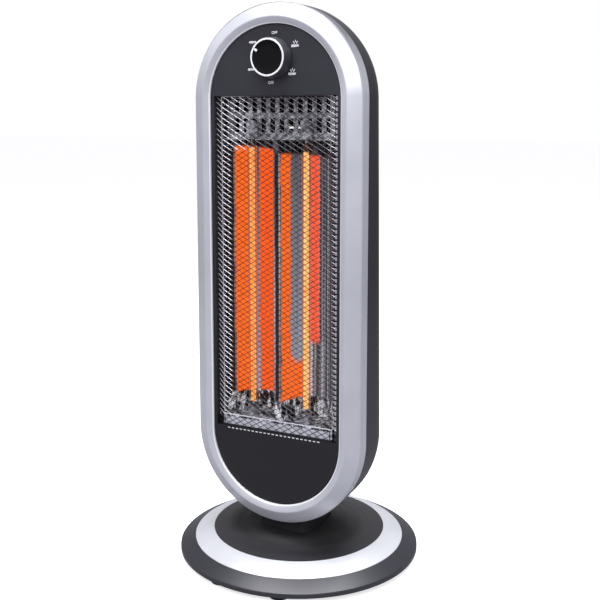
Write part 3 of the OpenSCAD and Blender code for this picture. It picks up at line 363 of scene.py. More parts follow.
# what each finish is made of: two tints, a range of roughness, and the scale and strength of its grain
finishes = {
    "trimSilver": dict(dark=(0.66, 0.67, 0.70), light=(0.72, 0.73, 0.76), rough=(0.3, 0.38),
                       grain=(1600, 0.05), metal=0.3, coat=0.3),
    "plateBlack": dict(dark=(0.014, 0.014, 0.015), light=(0.020, 0.020, 0.022), rough=(0.5, 0.62),
                       grain=(700, 0.15)),
    "padRubber": dict(dark=(0.010, 0.010, 0.010), light=(0.018, 0.018, 0.018), rough=(0.7, 0.85),
                      grain=(500, 0.2)),
    "zincSteel": dict(dark=(0.48, 0.49, 0.50), light=(0.62, 0.63, 0.64), rough=(0.25, 0.42),
                      grain=(400, 0.08), metal=1, patch=60),
    "ivoryPlastic": dict(dark=(0.66, 0.63, 0.54), light=(0.74, 0.71, 0.62), rough=(0.4, 0.5),
                         grain=(600, 0.08)),
    "whitePlastic": dict(dark=(0.40, 0.40, 0.39), light=(0.46, 0.46, 0.45), rough=(0.35, 0.45),
                         grain=(600, 0.06)),
    "orangePlastic": dict(dark=(0.60, 0.12, 0.02), light=(0.70, 0.17, 0.04), rough=(0.35, 0.45),
                          grain=(600, 0.06)),
    "neckBlack": dict(dark=(0.012, 0.012, 0.014), light=(0.018, 0.018, 0.021), rough=(0.45, 0.55),
                      grain=(900, 0.08), sheen=0.25),
    "shellBlack": dict(dark=(0.014, 0.014, 0.018), light=(0.020, 0.020, 0.025), rough=(0.4, 0.5),
                       grain=(1100, 0.12), sheen=0.35),
    "sheetSteel": dict(dark=(0.006, 0.006, 0.007), light=(0.016, 0.016, 0.018), rough=(0.5, 0.65),
                       grain=(300, 0.1), metal=0.6, patch=30),
    "slotSheet": dict(dark=(0.20, 0.20, 0.22), light=(0.95, 0.95, 1.0), rough=(0.2, 0.35),
                      grain=(260, 0.4), metal=0.6, patch=200, span=(0.42, 0.66)),
    "bracketSheet": dict(dark=(0.20, 0.20, 0.22), light=(1.0, 1.0, 1.0), rough=(0.2, 0.35),
                         grain=(260, 0.5), metal=0.4, patch=200, span=(0.42, 0.6)),
    "ceramicCap": dict(dark=(0.10, 0.10, 0.11), light=(0.50, 0.50, 0.54), rough=(0.6, 0.75),
                       grain=(800, 0.2), patch=160, span=(0.42, 0.6)),
    "printWhite": dict(dark=(0.84, 0.84, 0.84), light=(0.92, 0.92, 0.92), rough=(0.4, 0.5),
                       grain=(900, 0.03)),
}
# and what it has where it names nothing else
usual = dict(metal=0, coat=0, coatRough=0.12, sheen=0.5, patch=14, patchDetail=4, span=(0.35, 0.65))


def makeFinish(name, own):
    spec = {**usual, **own}
    finish, tree, shader = newFinish(name)
    patches = linkNoise(tree, spec["patch"], spec["patchDetail"])
    tint = tintBetween(tree, patches, spec["dark"], spec["light"], *spec["span"])
    applyPaint(tree, shader, spec, patches, tint=tint)
    return finish


def widePatches(tree):
    return linkNoise(tree, usual["patch"], usual["patchDetail"])


# from here on, where one tint gives way to the next is a pair of places in mm: its start and its end

# the knob: one black moulding, with painted shade on its face and a painted highlight that makes its side
# lighter; its face is also glossier
knobShading = dict(face=(0.002, 0.002, 0.003), side=(0.055, 0.055, 0.066), share=0.85, toLitSide=(-74.7, -74.5),
                 rough=(0.22, 0.35), sheen=0.3, patch=60, grain=(900, 0.04))


def makeKnobFinish():
    finish, tree, shader = newFinish("knobBlack")
    patches = linkNoise(tree, knobShading["patch"])
    face, side = [mottled(tree, patches, knobShading[part], knobShading["share"]) for part in ("face", "side")]
    # the side gets the painted highlight, the face the painted shade
    onLitSide = risen(tree, objectPlace(tree)["Y"], *knobShading["toLitSide"])
    applyPaint(tree, shader, knobShading, onLitSide, tint=mixColours(tree, onLitSide, face, side))
    return finish


# the base cover: one black moulding, with painted shade round the neck, where the housing shades it, satin on
# the dome, and a painted reflection that makes the skirt a little lighter
coverShading = dict(hub=(0.004, 0.004, 0.005), dome=(0.012, 0.012, 0.015), skirt=(0.016, 0.017, 0.023),
                  share=0.8, toDome=(72, 86), toSkirt=(122, 122.5), rough=(0.75, 0.38), sheen=0.75,
                  grain=(900, 0.03))


def makeCoverFinish():
    finish, tree, shader = newFinish("baseBlack")
    patches = widePatches(tree)
    hub, dome, skirt = [mottled(tree, patches, coverShading[part], coverShading["share"])
                        for part in ("hub", "dome", "skirt")]
    place = objectPlace(tree)
    radius = lengthOf(tree, place["X"], place["Y"])
    # painted shade round the neck, painted reflection on the skirt
    onDome, onLitSkirt = [risen(tree, radius, *coverShading[part]) for part in ("toDome", "toSkirt")]
    tint = mixColours(tree, onLitSkirt, mixColours(tree, onDome, hub, dome), skirt)
    applyPaint(tree, shader, coverShading, onDome, tint=tint)
    return finish


def fromMiddleLine(tree, place):
    # distance from the upright line between the housing's two round ends
    over = calculate(tree, "SUBTRACT", place["Z"], housing["high"] * mm)
    under = calculate(tree, "SUBTRACT", housing["low"] * mm, place["Z"])
    past = calculate(tree, "MAXIMUM", calculate(tree, "MAXIMUM", over, under), 0)
    return lengthOf(tree, place["X"], past)


# the front panel: painted light that makes it lighter towards the top, and a painted shade line along its
# edge, in the gap to the ring
panelShading = dict(high=(0.030, 0.030, 0.038), low=(0.008, 0.008, 0.010), line=(0.001, 0.001, 0.001),
                  share=0.85, toShadeLine=(78.7, 78.9), rough=(0.34, 0.42), sheen=0.42, grain=(1000, 0.05))


def makePanelFinish():
    finish, tree, shader = newFinish("panelBlack")
    patches = widePatches(tree)
    high, low, line = [mottled(tree, patches, panelShading[part], panelShading["share"])
                       for part in ("high", "low", "line")]
    place = objectPlace(tree)
    # painted light towards the top, painted shade along the edge
    rise = risen(tree, place["Z"], housing["low"], housing["high"])
    onPaintedLine = risen(tree, fromMiddleLine(tree, place), *panelShading["toShadeLine"])
    tint = mixColours(tree, onPaintedLine, mixColours(tree, rise, low, high), line)
    applyPaint(tree, shader, panelShading, patches, tint=tint)
    return finish


# the front ring: satin silver, with a painted highlight along its inner edge and a painted shade line along
# its outer edge at the top
ringShading = dict(dark=(0.54, 0.55, 0.59), light=(0.60, 0.61, 0.65), rough=(0.32, 0.38), metal=0.3, coat=0.2,
                 coatRough=0.12, line=(0.13, 0.13, 0.15), toShadeLine=(101.4, 101.7), toTop=(540, 600),
                 inner=(0.95, 0.95, 0.97), fromInnerHighlight=(81, 81.4), grain=(2200, 0.03))


def makeRingFinish():
    finish, tree, shader = newFinish("ringSilver")
    patches = widePatches(tree)
    silver = tintBetween(tree, patches, ringShading["dark"], ringShading["light"])
    line, inner = [mottled(tree, patches, ringShading[part]) for part in ("line", "inner")]
    place = objectPlace(tree)
    distance = fromMiddleLine(tree, place)
    # the painted shade line at the top, and the painted highlight at the inner edge
    onPaintedLine = calculate(tree, "MULTIPLY", risen(tree, distance, *ringShading["toShadeLine"]),
                       risen(tree, place["Z"], *ringShading["toTop"]))
    onInnerHighlight = fallen(tree, distance, *ringShading["fromInnerHighlight"])
    tint = mixColours(tree, onPaintedLine, mixColours(tree, onInnerHighlight, silver, inner), line)
    applyPaint(tree, shader, ringShading, patches, tint=tint)
    return finish


def seenLight(tree, power, leak):
    # the glow is seen at full power, and lights its neighbours with a small share of it
    path = tree.nodes.new("ShaderNodeLightPath")
    seen = calculate(tree, "MAXIMUM", path.outputs["Is Camera Ray"], path.outputs["Is Transmission Ray"])
    return rangeTo(tree, seen, power * leak, power)


def sunkHeight(tree, place, sink):
    # height that grows towards the right, so that what ends at one value of it sinks there
    return calculate(tree, "ADD", place["Z"], calculate(tree, "MULTIPLY", place["X"], sink))


# carbon strips: the left one more orange, the right one more yellow, each redder in patches
strips = dict(left=((1.0, 0.24, 0.035), (1.0, 0.50, 0.13)), right=((1.0, 0.42, 0.08), (1.0, 0.66, 0.24)),
              span=(0.35, 0.7), patch=260, stretch=(1, 1, 0.4), unlit=(0.1, 0.03, 0.01, 1),
              power=1.1, leak=0.15, top=(475.5, 477.5), sink=0.07)


def makeGlow():
    finish, tree, shader = newFinish("carbonGlow")
    heat = linkNoise(tree, strips["patch"], stretch=strips["stretch"])
    left, right = [tintBetween(tree, heat, *strips[side], *strips["span"]) for side in ("left", "right")]
    place = objectPlace(tree)
    onRight = risen(tree, place["X"], -1, 1)
    # their upper ends stay dark
    hot = fallen(tree, sunkHeight(tree, place, strips["sink"]), *strips["top"])
    power = calculate(tree, "MULTIPLY", seenLight(tree, strips["power"], strips["leak"]), hot)
    dress(tree, shader, tint=strips["unlit"], glowTint=mixColours(tree, onRight, left, right),
          glowPower=power)
    return finish


# clear quartz, which hardly bends the light
glass = dict(tint=(1, 0.98, 0.96, 1), bend=1.08, cloud=90, rough=(0.0, 0.05))


def makeGlass():
    finish, tree, shader = newFinish("quartzGlass")
    rough = rangeTo(tree, linkNoise(tree, glass["cloud"]), *glass["rough"])
    dress(tree, shader, tint=glass["tint"], clear=1, bend=glass["bend"], rough=rough)
    return finish


# crumpled bright sheet with painted glints: noise scale, detail, stretch and roughness, then its tints, the
# glints dimmer at the top
crumpleGlints = dict(noise=(170, 4, (1, 1, 0.5), 0.62), dark=(0.01, 0.01, 0.012), light=(0.95, 0.95, 1.0),
               span=(0.47, 0.58), topGlint=(0.20, 0.20, 0.23), toTop=(440, 445))

# the lower bracket: plain on its front lip, crumpled behind and above it, where the crumples carry painted
# glints
lipPaint = dict(dark=(0.62, 0.62, 0.68), light=(0.88, 0.88, 0.95), patch=90, lipTop=(167.9, 168.2),
                rough=(0.25, 0.4), metal=0.3, grain=(150, 0.3))


def makeLipFinish():
    finish, tree, shader = newFinish("lipSheet")
    patches = linkNoise(tree, lipPaint["patch"], usual["patchDetail"])
    lip = tintBetween(tree, patches, lipPaint["dark"], lipPaint["light"])
    creases = linkNoise(tree, *crumpleGlints["noise"])
    foil = tintBetween(tree, creases, crumpleGlints["dark"], crumpleGlints["light"], *crumpleGlints["span"])
    overLip = risen(tree, objectPlace(tree)["Z"], *lipPaint["lipTop"])
    applyPaint(tree, shader, lipPaint, patches, tint=mixColours(tree, overLip, lip, foil))
    return finish


# painted reflections on the reflector, given off by the sheet as glow in upright bands: the strips' light in
# orange and a pale painted light between them; each colour runs from its place in mm to the next
orange, deepOrange, rose, unlit = (0.92, 0.13, 0.010), (0.92, 0.095, 0.006), (0.92, 0.095, 0.035), (0, 0, 0)
dimGlow, paleGlow = (0.05, 0.055, 0.07), (0.19, 0.21, 0.26)
upperBands = [(-70, unlit), (-61.6, orange), (-51, paleGlow), (-42.6, deepOrange), (-20, unlit), (-9, unlit),
              (4.1, orange), (8.4, paleGlow), (19.5, rose), (34, unlit), (37, paleGlow), (38.5, unlit), (45, paleGlow),
              (46.5, unlit), (52, paleGlow), (53.5, unlit)]
lowerBands = [(-70, unlit), (-61.6, orange), (-52, paleGlow), (-42, deepOrange), (-21, unlit), (-9, unlit),
              (4.1, orange), (16.5, unlit), (24, paleGlow), (26, unlit), (37, paleGlow), (38.5, unlit), (45, paleGlow),
              (46.5, unlit), (52, paleGlow), (53.5, unlit)]
# at the top their pale bands get dim, all but the one at 45 mm
topBands = [(place, dimGlow if colour == paleGlow and place != 45 else colour) for place, colour in upperBands]
# and how bright the bare sheet is there: painted reflection and painted shade
upperReflections = [(-70, 0.02), (-62.6, 0.5), (-61.6, 0.01), (-51, 0.15), (-42.6, 0.01), (-20, 0.5), (-4, 0.75),
             (-2.4, 0.02), (1.8, 0.7), (4.1, 0.01), (8.4, 0.3), (18.5, 0.01), (34, 0.2), (40, 0.7),
             (43, 0.15), (48, 0.6), (50.5, 0.12), (56, 0.6), (58, 0.15)]
lowerReflections = [(-70, 0.02), (-62.6, 0.5), (-61.6, 0.01), (-51, 0.25), (-42.6, 0.01), (-20, 0.6), (-4, 0.75),
             (-2.4, 0.02), (1.8, 0.7), (4.1, 0.01), (16.5, 0.3), (19.5, 0.6), (30, 0.15), (34, 0.5),
             (40, 0.8), (43, 0.2), (48, 0.7), (50.5, 0.15), (56, 0.7), (58, 0.2)]
# where the bands end below and above, how they waver and flicker, and the light on the foil below them
glow = dict(half=70, low=(191.5, 194.5), high=(471, 474), sink=0.12, toDim=(246, 471), leak=0.08, foil=0.35,
            foilSpan=(0.5, 0.66), patch=420, patchStretch=(1, 1, 0.6), flicker=(0.85, 1.4), wobble=2.2,
            wobbleScale=55, wobbleStretch=(0.3, 0.3, 1))
# where the upper bands give way to the lower ones, left and right, and the tip of the grey band there
split = dict(left=246, right=257, bend=(16, 19), soft=(-4, 4), tipX=12.5, tipHalf=5, tip=14)
# the bare sheet: its tints, upright streaks in its painted reflections, roughness and dents
sheet = dict(dark=(0.01, 0.01, 0.012), light=(0.90, 0.93, 1.0), streak=300, streakStretch=(1, 1, 0.02),
             shine=(0.3, 1.5), shineSpan=(0.3, 0.7), rough=(0.25, 0.45), metal=0.6,
             grain=(160, 0.35, 0.0008, (1, 1, 0.5)))


def overSplit(tree, place):
    # 1 above the edge where the upper bands give way to the lower ones
    edge = rangeTo(tree, place["X"], split["left"] * mm, split["right"] * mm,
                   *[value * mm for value in split["bend"]])
    aside = calculate(tree, "ABSOLUTE", calculate(tree, "SUBTRACT", place["X"], split["tipX"] * mm))
    tip = rangeTo(tree, aside, split["tip"] * mm, 0, 0, split["tipHalf"] * mm)
    height = calculate(tree, "ADD", calculate(tree, "SUBTRACT", place["Z"], edge), tip)
    return risen(tree, height, *split["soft"])


def glowBands(tree, place, across, onUpper):
    # the lower bands, and over them the upper ones, which grow dim towards the top
    rise = risen(tree, place["Z"], *glow["toDim"])
    top, upper, lower = [bandRamp(tree, across, bands, glow["half"])
                         for bands in (topBands, upperBands, lowerBands)]
    return mixColours(tree, onUpper, lower, mixColours(tree, rise, upper, top))


def sheetReflections(tree, across, onUpper):
    # plain sheet with painted reflections and painted shade, broken into upright streaks
    upper, lower = [bandRamp(tree, across, [(x, (share,) * 3) for x, share in shares], glow["half"])
                    for shares in (upperReflections, lowerReflections)]
    streaks = linkNoise(tree, sheet["streak"], stretch=sheet["streakStretch"])
    streak = rangeTo(tree, streaks, *sheet["shine"], *sheet["shineSpan"])
    shine = calculate(tree, "MULTIPLY", mixColours(tree, onUpper, lower, upper), streak)
    return tintBetween(tree, shine, sheet["dark"], sheet["light"], 0, 1)


def crumpledEnds(tree, place, creases):
    # the sheet's tint with its painted glints beyond the bands, and the painted light on it, which only its
    # lower end has
    onTop = risen(tree, place["Z"], *crumpleGlints["toTop"])
    foil, topFoil = [tintBetween(tree, creases, crumpleGlints["dark"], crumpleGlints[part], *crumpleGlints["span"])
                     for part in ("light", "topGlint")]
    foilLight = tintBetween(tree, creases, unlit, (glow["foil"],) * 3, *glow["foilSpan"])
    noLight = mottled(tree, creases, unlit)
    return mixColours(tree, onTop, foil, topFoil), mixColours(tree, onTop, foilLight, noLight)


def makeReflectorFinish():
    finish, tree, shader = newFinish("reflectorSheet")
    place = objectPlace(tree)
    wobble = linkNoise(tree, glow["wobbleScale"], 2, glow["wobbleStretch"])
    shift = calculate(tree, "MULTIPLY", calculate(tree, "SUBTRACT", wobble, 0.5), glow["wobble"] * mm)
    across = risen(tree, calculate(tree, "ADD", place["X"], shift), -glow["half"], glow["half"])
    onUpper = overSplit(tree, place)
    # the bands end at a wobbling line below, and at one that sinks towards the right above
    overLow = risen(tree, calculate(tree, "ADD", place["Z"], shift), *glow["low"])
    underHigh = fallen(tree, sunkHeight(tree, place, glow["sink"]), *glow["high"])
    lit = calculate(tree, "MULTIPLY", overLow, underHigh)
    creases = linkNoise(tree, *crumpleGlints["noise"])
    foil, foilLight = crumpledEnds(tree, place, creases)
    fine = linkNoise(tree, glow["patch"], 2, glow["patchStretch"])
    flicker = rangeTo(tree, fine, *glow["flicker"], *usual["span"])
    # the painted reflections go into the sheet's tint and its glow
    applyPaint(tree, shader, sheet, creases,
               tint=mixColours(tree, lit, foil, sheetReflections(tree, across, onUpper)),
               glowTint=mixColours(tree, lit, foilLight, glowBands(tree, place, across, onUpper)),
               glowPower=calculate(tree, "MULTIPLY", seenLight(tree, 1, glow["leak"]), flicker))
    return finish


# painted light and shade on the mesh across the window, above the glow, in front of it and below it: painted
# highlights at the sides, warm painted shade in front of the glow, darker painted shade where no glow is
# behind
highlight, silvery, faint = (0.92, 0.92, 0.97), (0.80, 0.80, 0.85), (0.15, 0.15, 0.17)
warmShade, shadedGrey = (0.055, 0.010, 0.004), (0.03, 0.03, 0.034)
wireShading = dict(
    above=[(-77, highlight), (-66, highlight), (-42, silvery), (-28, faint), (60, faint), (71, highlight)],
    amid=[(-77, highlight), (-66, highlight), (-65, silvery), (-57, silvery), (-55, warmShade), (-10, warmShade),
          (-8, shadedGrey), (0, shadedGrey), (2, warmShade), (13, warmShade), (15, shadedGrey), (27, shadedGrey), (29, warmShade), (50, warmShade),
          (53, faint), (68, faint), (71, highlight)],
    below=[(-77, highlight), (-66, highlight), (-57, faint), (66, faint), (71, highlight)])
# the window's half width, where the glow behind the mesh ends, and the lip, hem and line at its foot: painted
# shade on the strands over the lip, painted highlights on the hem and the line
wire = dict(half=77, low=(193, 196), high=(474, 477), shade=0.06, lean=0.3, share=0.6,
            lip=(0.05, 0.05, 0.06), lipTop=(167.5, 170.5), hemTop=(157.2, 157.5), lineLow=(170.6, 170.8),
            lineHigh=(172.2, 172.4), patch=150, rough=(0.28, 0.42), metal=0.5, grain=(500, 0.1))


def wireTint(tree, place, patches):
    # painted light and shade by place in the window, and painted shade on the strands that lean down
    across = risen(tree, place["X"], -wire["half"], wire["half"])
    above, amid, below = [bandRamp(tree, across, wireShading[part], wire["half"], "LINEAR")
                          for part in ("above", "amid", "below")]
    overLow, overHigh = [risen(tree, place["Z"], *wire[end]) for end in ("low", "high")]
    tint = mixColours(tree, overHigh, mixColours(tree, overLow, below, amid), above)
    # painted shade on strands facing down, painted light on those facing up
    facing = objectPlace(tree, "Normal")["Z"]
    upTurned = rangeTo(tree, facing, wire["shade"], 1, -wire["lean"], wire["lean"])
    return mixColours(tree, upTurned, mottled(tree, patches, warmShade, wire["share"]), tint)


def onPaintedHighlight(tree, height):
    # painted highlights: on the hem's dashes, and along the line at the lip's upper edge
    onPaintedLine = calculate(tree, "MULTIPLY", risen(tree, height, *wire["lineLow"]),
                       fallen(tree, height, *wire["lineHigh"]))
    return calculate(tree, "MAXIMUM", fallen(tree, height, *wire["hemTop"]), onPaintedLine)


def makeWireFinish():
    finish, tree, shader = newFinish("wireSteel")
    place = objectPlace(tree)
    patches = linkNoise(tree, wire["patch"])
    # painted shade on the strands over the lip, painted highlights on the hem and the line
    underLip = fallen(tree, place["Z"], *wire["lipTop"])
    tint = mixColours(tree, underLip, wireTint(tree, place, patches),
                      mottled(tree, patches, wire["lip"], wire["share"]))
    tint = mixColours(tree, onPaintedHighlight(tree, place["Z"]), tint, mottled(tree, patches, highlight))
    applyPaint(tree, shader, wire, patches, tint=tint)
    return finish


made = {name: makeFinish(name, own) for name, own in finishes.items()}
made.update(knobBlack=makeKnobFinish(), baseBlack=makeCoverFinish(), ringSilver=makeRingFinish(),
            panelBlack=makePanelFinish(), lipSheet=makeLipFinish(), wireSteel=makeWireFinish(),
            carbonGlow=makeGlow(), quartzGlass=makeGlass(), reflectorSheet=makeReflectorFinish())

# the CAD pieces that have each finish
finishNodes = dict(
    baseBlack=["base_cover"],
    trimSilver=["base_trim_ring"],
    plateBlack=["bottom_plate", "crank_roller", "tip_microswitch", "rotary_switch"],
    padRubber=["rubber_feet", "cord_gland"],
    zincSteel=["base_screws", "gear_motor", "motor_screws", "motor_shaft", "plunger_spring", "neck_screws",
               "retaining_clip", "swing_arm", "swing_arm_screws", "housing_screws", "chassis_screws",
               "tube_terminals", "switch_nut", "switch_spindle"],
    ivoryPlastic=["terminal_block", "tip_switch_housing"],
    whitePlastic=["thrust_washer", "crank"],
    orangePlastic=["tip_plunger"],
    neckBlack=["neck"],
    shellBlack=["rear_shell"],
    ringSilver=["front_ring"],
    panelBlack=["front_panel"],
    wireSteel=["front_guard"],
    sheetSteel=["chassis_plate"],
    reflectorSheet=["reflector"],
    slotSheet=["slotted_sheet"],
    lipSheet=["lower_bracket"],
    bracketSheet=["upper_bracket"],
    quartzGlass=["glass_tubes"],
    carbonGlow=["carbon_strips"],
    ceramicCap=["end_caps", "thermal_cutout"],
    knobBlack=["knob_body"],
    printWhite=["knob_ring", "knob_pointer"])
for name, nodes in finishNodes.items():
    for node in nodes:
        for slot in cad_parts[node].material_slots:
            slot.material = made[name]
print("finishes made:", len(made))

# the sections of the base cover and of the trim ring, as radii and heights
base = dict(radius=141, rim=6, band=11, bandIn=9.4, wall=2.5, round=1.5, hub=63.5, soft=8, dome=32,
            hubTop=36.5, bore=13.06, sleeve=16.06, sleeveLow=20, seatOut=15, seatIn=23.8, hubSteps=12,
            domeSteps=10, steps=180)
trim = dict(outer=123.4, inner=101, outerZ=19.3, innerZ=28, thick=1.6, gap=0.1, bulge=0.68, lift=0.29,
            step=0.2, steps=10)
# the notch for the mains inlet, at the rear
inlet = dict(radius=5.6, middle=10.6, near=125, far=144, foot=(11.2, 19, 6.6), footMiddle=(0, 134.5, 7.3))


def topSection():
    # from the bore over the hub's rounded edge and down the dome to the trim ring
    hub, soft, top, dome = base["hub"], base["soft"], base["hubTop"], base["dome"]
    points = [(base["bore"], top)]
    for i in range(base["hubSteps"] + 1):
        share = i / base["hubSteps"]
        fall = 0.5 + 0.5 * math.cos(math.pi * share)
        points.append((hub - soft + 2 * soft * share, dome + (top - dome) * fall))
    for i in range(1, base["domeSteps"] + 1):
        radius = hub + soft + (trim["inner"] - hub - soft) * i / base["domeSteps"]
        share = (radius - hub) / (trim["inner"] - hub)
        points.append((radius, dome - (dome - trim["innerZ"]) * share * share))
    return points


def skirtSection():
    # the trim ring's seat, then the skirt down to its rounded edge
    skirtTop, turn = trim["outerZ"] - trim["step"], base["round"]
    slope = math.atan2(skirtTop - base["band"], base["radius"] - trim["outer"])
    turnZ = base["band"] + turn * (math.tan(slope) - 1 / math.cos(slope))
    points = [(trim["inner"], trim["innerZ"] - trim["thick"]),
              (trim["outer"], trim["outerZ"] - trim["thick"]), (trim["outer"], skirtTop)]
    return points + arcPoints(base["radius"] - turn, turnZ, turn, 90 - math.degrees(slope), 0, 6)


def innerSection():
    # from the rim back up under the skirt and dome to the swivel sleeve
    radius, wall, hub, top = base["radius"], base["wall"], base["hub"], base["hubTop"]
    return [(radius, base["rim"]), (radius - wall, base["rim"]), (radius - wall, base["bandIn"]),
            (trim["outer"], base["seatOut"]), (trim["inner"], base["seatIn"]), (hub, base["dome"] - wall),
            (hub - base["soft"], top - wall), (base["sleeve"], top - wall),
            (base["sleeve"], base["sleeveLow"]), (base["bore"], base["sleeveLow"])]


def makeCover():
    section = topSection() + skirtSection() + innerSection()
    cover = turned("baseCover", section, base["steps"], closed=True)
    notch = rod("notch", inlet["radius"], -inlet["far"], -inlet["near"], (0, inlet["middle"]))
    standUp(notch)
    combine(cover, notch, "DIFFERENCE")
    combine(cover, box("notchFoot", inlet["foot"], inlet["footMiddle"]), "DIFFERENCE")
    smoothEdges(cover, 30)
    finishPiece(cover, made["baseBlack"], "base", "black_base", "base_cover")


def makeTrim():
    inner, outer = trim["inner"] + trim["gap"], trim["outer"] - trim["gap"]
    section = []
    for i in range(trim["steps"] + 1):
        share = i / trim["steps"]
        height = trim["innerZ"] + (trim["outerZ"] - trim["innerZ"]) * share + trim["lift"]
        section.append((inner + (outer - inner) * share, height + trim["bulge"] * math.sin(math.pi * share)))
    section += [(outer, trim["outerZ"] - trim["thick"] + trim["gap"]),
                (inner, trim["innerZ"] - trim["thick"] + trim["gap"])]
    piece = turned("trimRing", section, base["steps"], closed=True)
    smoothEdges(piece, 30)
    finishPiece(piece, made["trimSilver"], "base", "silver_trim", "base_trim_ring")


# rubber feet in three pairs, each with a barbed stem that goes through the plate
foot = dict(radius=11, sole=10, round=1.2, high=6, stem=3, barb=3.8, barbZ=8.7, tip=2.4, tipZ=10.7,
            ring=125, spread=17, steps=40)


def makeFeet():
    radius, turn, stem = foot["radius"], foot["round"], foot["stem"]
    section = [(axis, 0), (foot["sole"], 0)] + arcPoints(radius - turn, turn, turn, -80, 0, 5)
    section += [(radius, foot["high"]), (stem, foot["high"]), (stem, foot["barbZ"]),
                (foot["barb"], foot["barbZ"]), (foot["tip"], foot["tipZ"]), (axis, foot["tipZ"])]
    feet = []
    for third in (0, 120, 240):
        for side in (-1, 1):
            angle = math.radians(-90 + third + side * foot["spread"])
            pad = turned("foot", section, foot["steps"])
            pad.location = (foot["ring"] * mm * math.cos(angle), foot["ring"] * mm * math.sin(angle), 0)
            applyPlace(pad)
            feet.append(pad)
    pads = joinPieces("rubberFeet", feet)
    smoothEdges(pads, 40)
    finishPiece(pads, made["padRubber"], "base", "rubber", "rubber_feet")


makeCover()
makeTrim()
makeFeet()
print("base done")

# rear shell: its rounded corner, its lean, and what is cut into it
shell = dict(corner=50, cornerStart=27, cornerSteps=14, blockFront=66, lean=2, wall=2.5)
vent = dict(length=64, high=4.5, deep=50, middle=-40, pitch=10, rows=8, lows=(188, 459))
grip = dict(y=566, size=(92, 34, 60), corner=10, floor=-5)
post = dict(radius=4.5, low=-60, high=39.5, reach=92, hole=3.3, holeLow=-70, seat=28)


def shellSkin(name, grow=0):
    # solid block inside the shell's outer face, leaning so that it gets deeper towards the bottom
    outer, corner = housing["halfWidth"] + grow, shell["corner"] + grow
    section = [(outer, shell["blockFront"])]
    section += arcPoints(outer - corner, shell["cornerStart"], corner, 0, -90, shell["cornerSteps"])
    skin = turned(name, section, housing["steps"], filled=True)
    stretchUpright(skin)
    pivot = Vector((0, housing["top"] * mm, housing["ringBack"] * mm))
    skin.rotation_euler = (math.radians(shell["lean"]), 0, 0)
    skin.location = pivot - Matrix.Rotation(math.radians(shell["lean"]), 3, "X") @ pivot
    applyPlace(skin)
    return skin


def cutFlat(piece, forward):
    # takes away what lies ahead of the given forward place
    editing(piece)
    bpy.ops.mesh.select_all(action="SELECT")
    bpy.ops.mesh.bisect(plane_co=(0, 0, forward * mm), plane_no=(0, 0, 1), clear_outer=True, use_fill=True)
    bpy.ops.object.mode_set(mode="OBJECT")


def openFront(skin):
    editing(skin, "FACE")
    front = (housing["ringBack"] - 1) * mm
    pickFaces(skin, lambda face: face.normal.z > 0.99 and face.calc_center_median().z > front)
    bpy.ops.mesh.delete(type="FACE")
    bpy.ops.object.mode_set(mode="OBJECT")


def screwPlaces():
    reach, low, high = post["reach"], housing["low"], housing["high"]
    places = []
    for angle, centre in ((35, high), (145, high), (-50, low), (-130, low)):
        turn = math.radians(angle)
        places.append((reach * math.cos(turn), centre + reach * math.sin(turn)))
    return places + [(reach, (low + high) / 2), (-reach, (low + high) / 2)]


def addPosts(skin, solid):
    # screw posts, cut to the shell's outside and sunk from the rear
    posts = [rod("post", post["radius"], post["low"], post["high"], place) for place in screwPlaces()]
    posts = joinPieces("posts", posts)
    combine(posts, solid, "INTERSECT")
    combine(skin, posts, "UNION")
    for place in screwPlaces():
        combine(skin, rod("screwHole", post["hole"], post["holeLow"], post["seat"], place), "DIFFERENCE")


def makeRearShell():
    skin = shellSkin("rearShell")
    cutFlat(skin, housing["ringBack"])
    solid = copyOf(skin)
    recess = box("grip", grip["size"], (0, grip["y"], grip["floor"] - grip["size"][2] / 2))
    roundCorners(recess, grip["corner"])
    combine(skin, recess, "DIFFERENCE")
    openFront(skin)
    wall = skin.modifiers.new("wall", "SOLIDIFY")
    wall.thickness = shell["wall"] * mm
    wall.offset = -1
    wall.use_even_offset = True
    applyAll(skin)
    addPosts(skin, solid)
    for low in vent["lows"]:
        slots = box("vent", (vent["length"], vent["high"], vent["deep"]), (0, low, vent["middle"]))
        # the ends are all but half round
        roundCorners(slots, vent["high"] * 0.49, 5)
        repeat(slots, vent["rows"], (0, vent["pitch"], 0))
        combine(skin, slots, "DIFFERENCE")
    standUp(skin)
    smoothEdges(skin, 28)
    finishPiece(skin, made["shellBlack"], "heater_body", "shell_black", "rear_shell")


# the neck: a rounded block under the housing, and the tube that turns in the base
neck = dict(halfW=33, front=44, rear=30, low=37.5, tall=130, corner=12, tubeR=13, tubeLow=11.5, tubeHigh=38.5,
            wall=3, gap=0.1, roomLow=39, roomHigh=120)


def makeNeck():
    piece = box("neck", (2 * neck["halfW"], neck["front"] + neck["rear"], neck["tall"]),
                (0, (neck["rear"] - neck["front"]) / 2, neck["low"] + neck["tall"] / 2))
    roundCorners(piece, neck["corner"], 10)
    # its top follows the shell and the front ring
    under = shellSkin("underShell", neck["gap"])
    standUp(under)
    combine(piece, under, "DIFFERENCE")
    room = rod("ringRoom", housing["halfWidth"] + neck["gap"], neck["roomLow"], neck["roomHigh"],
               (0, housing["low"]), 180)
    standUp(room)
    combine(piece, room, "DIFFERENCE")
    outer, inner = neck["tubeR"], neck["tubeR"] - neck["wall"]
    tube = turned("swivelTube", [(outer, neck["tubeLow"]), (outer, neck["tubeHigh"]),
                                 (inner, neck["tubeHigh"]), (inner, neck["tubeLow"])], 64, closed=True)
    piece = joinPieces("neck", [piece, tube])
    smoothEdges(piece, 30)
    finishPiece(piece, made["neckBlack"], "heater_body", "neck_black", "neck")


makeRearShell()
makeNeck()
print("shell and neck done")

# section of the front ring, from its back edge over the crest to the inner edge
ring = dict(sideFront=54, crest=65, crestIn=17, crestShift=1.1, innerFront=62.2, width=23, panelBack=57.5,
            ledge=2, round=3, innerRound=0.8, wall=2.5, underCrest=2.8, underSide=(3.4, 0.4), sideDrop=1)


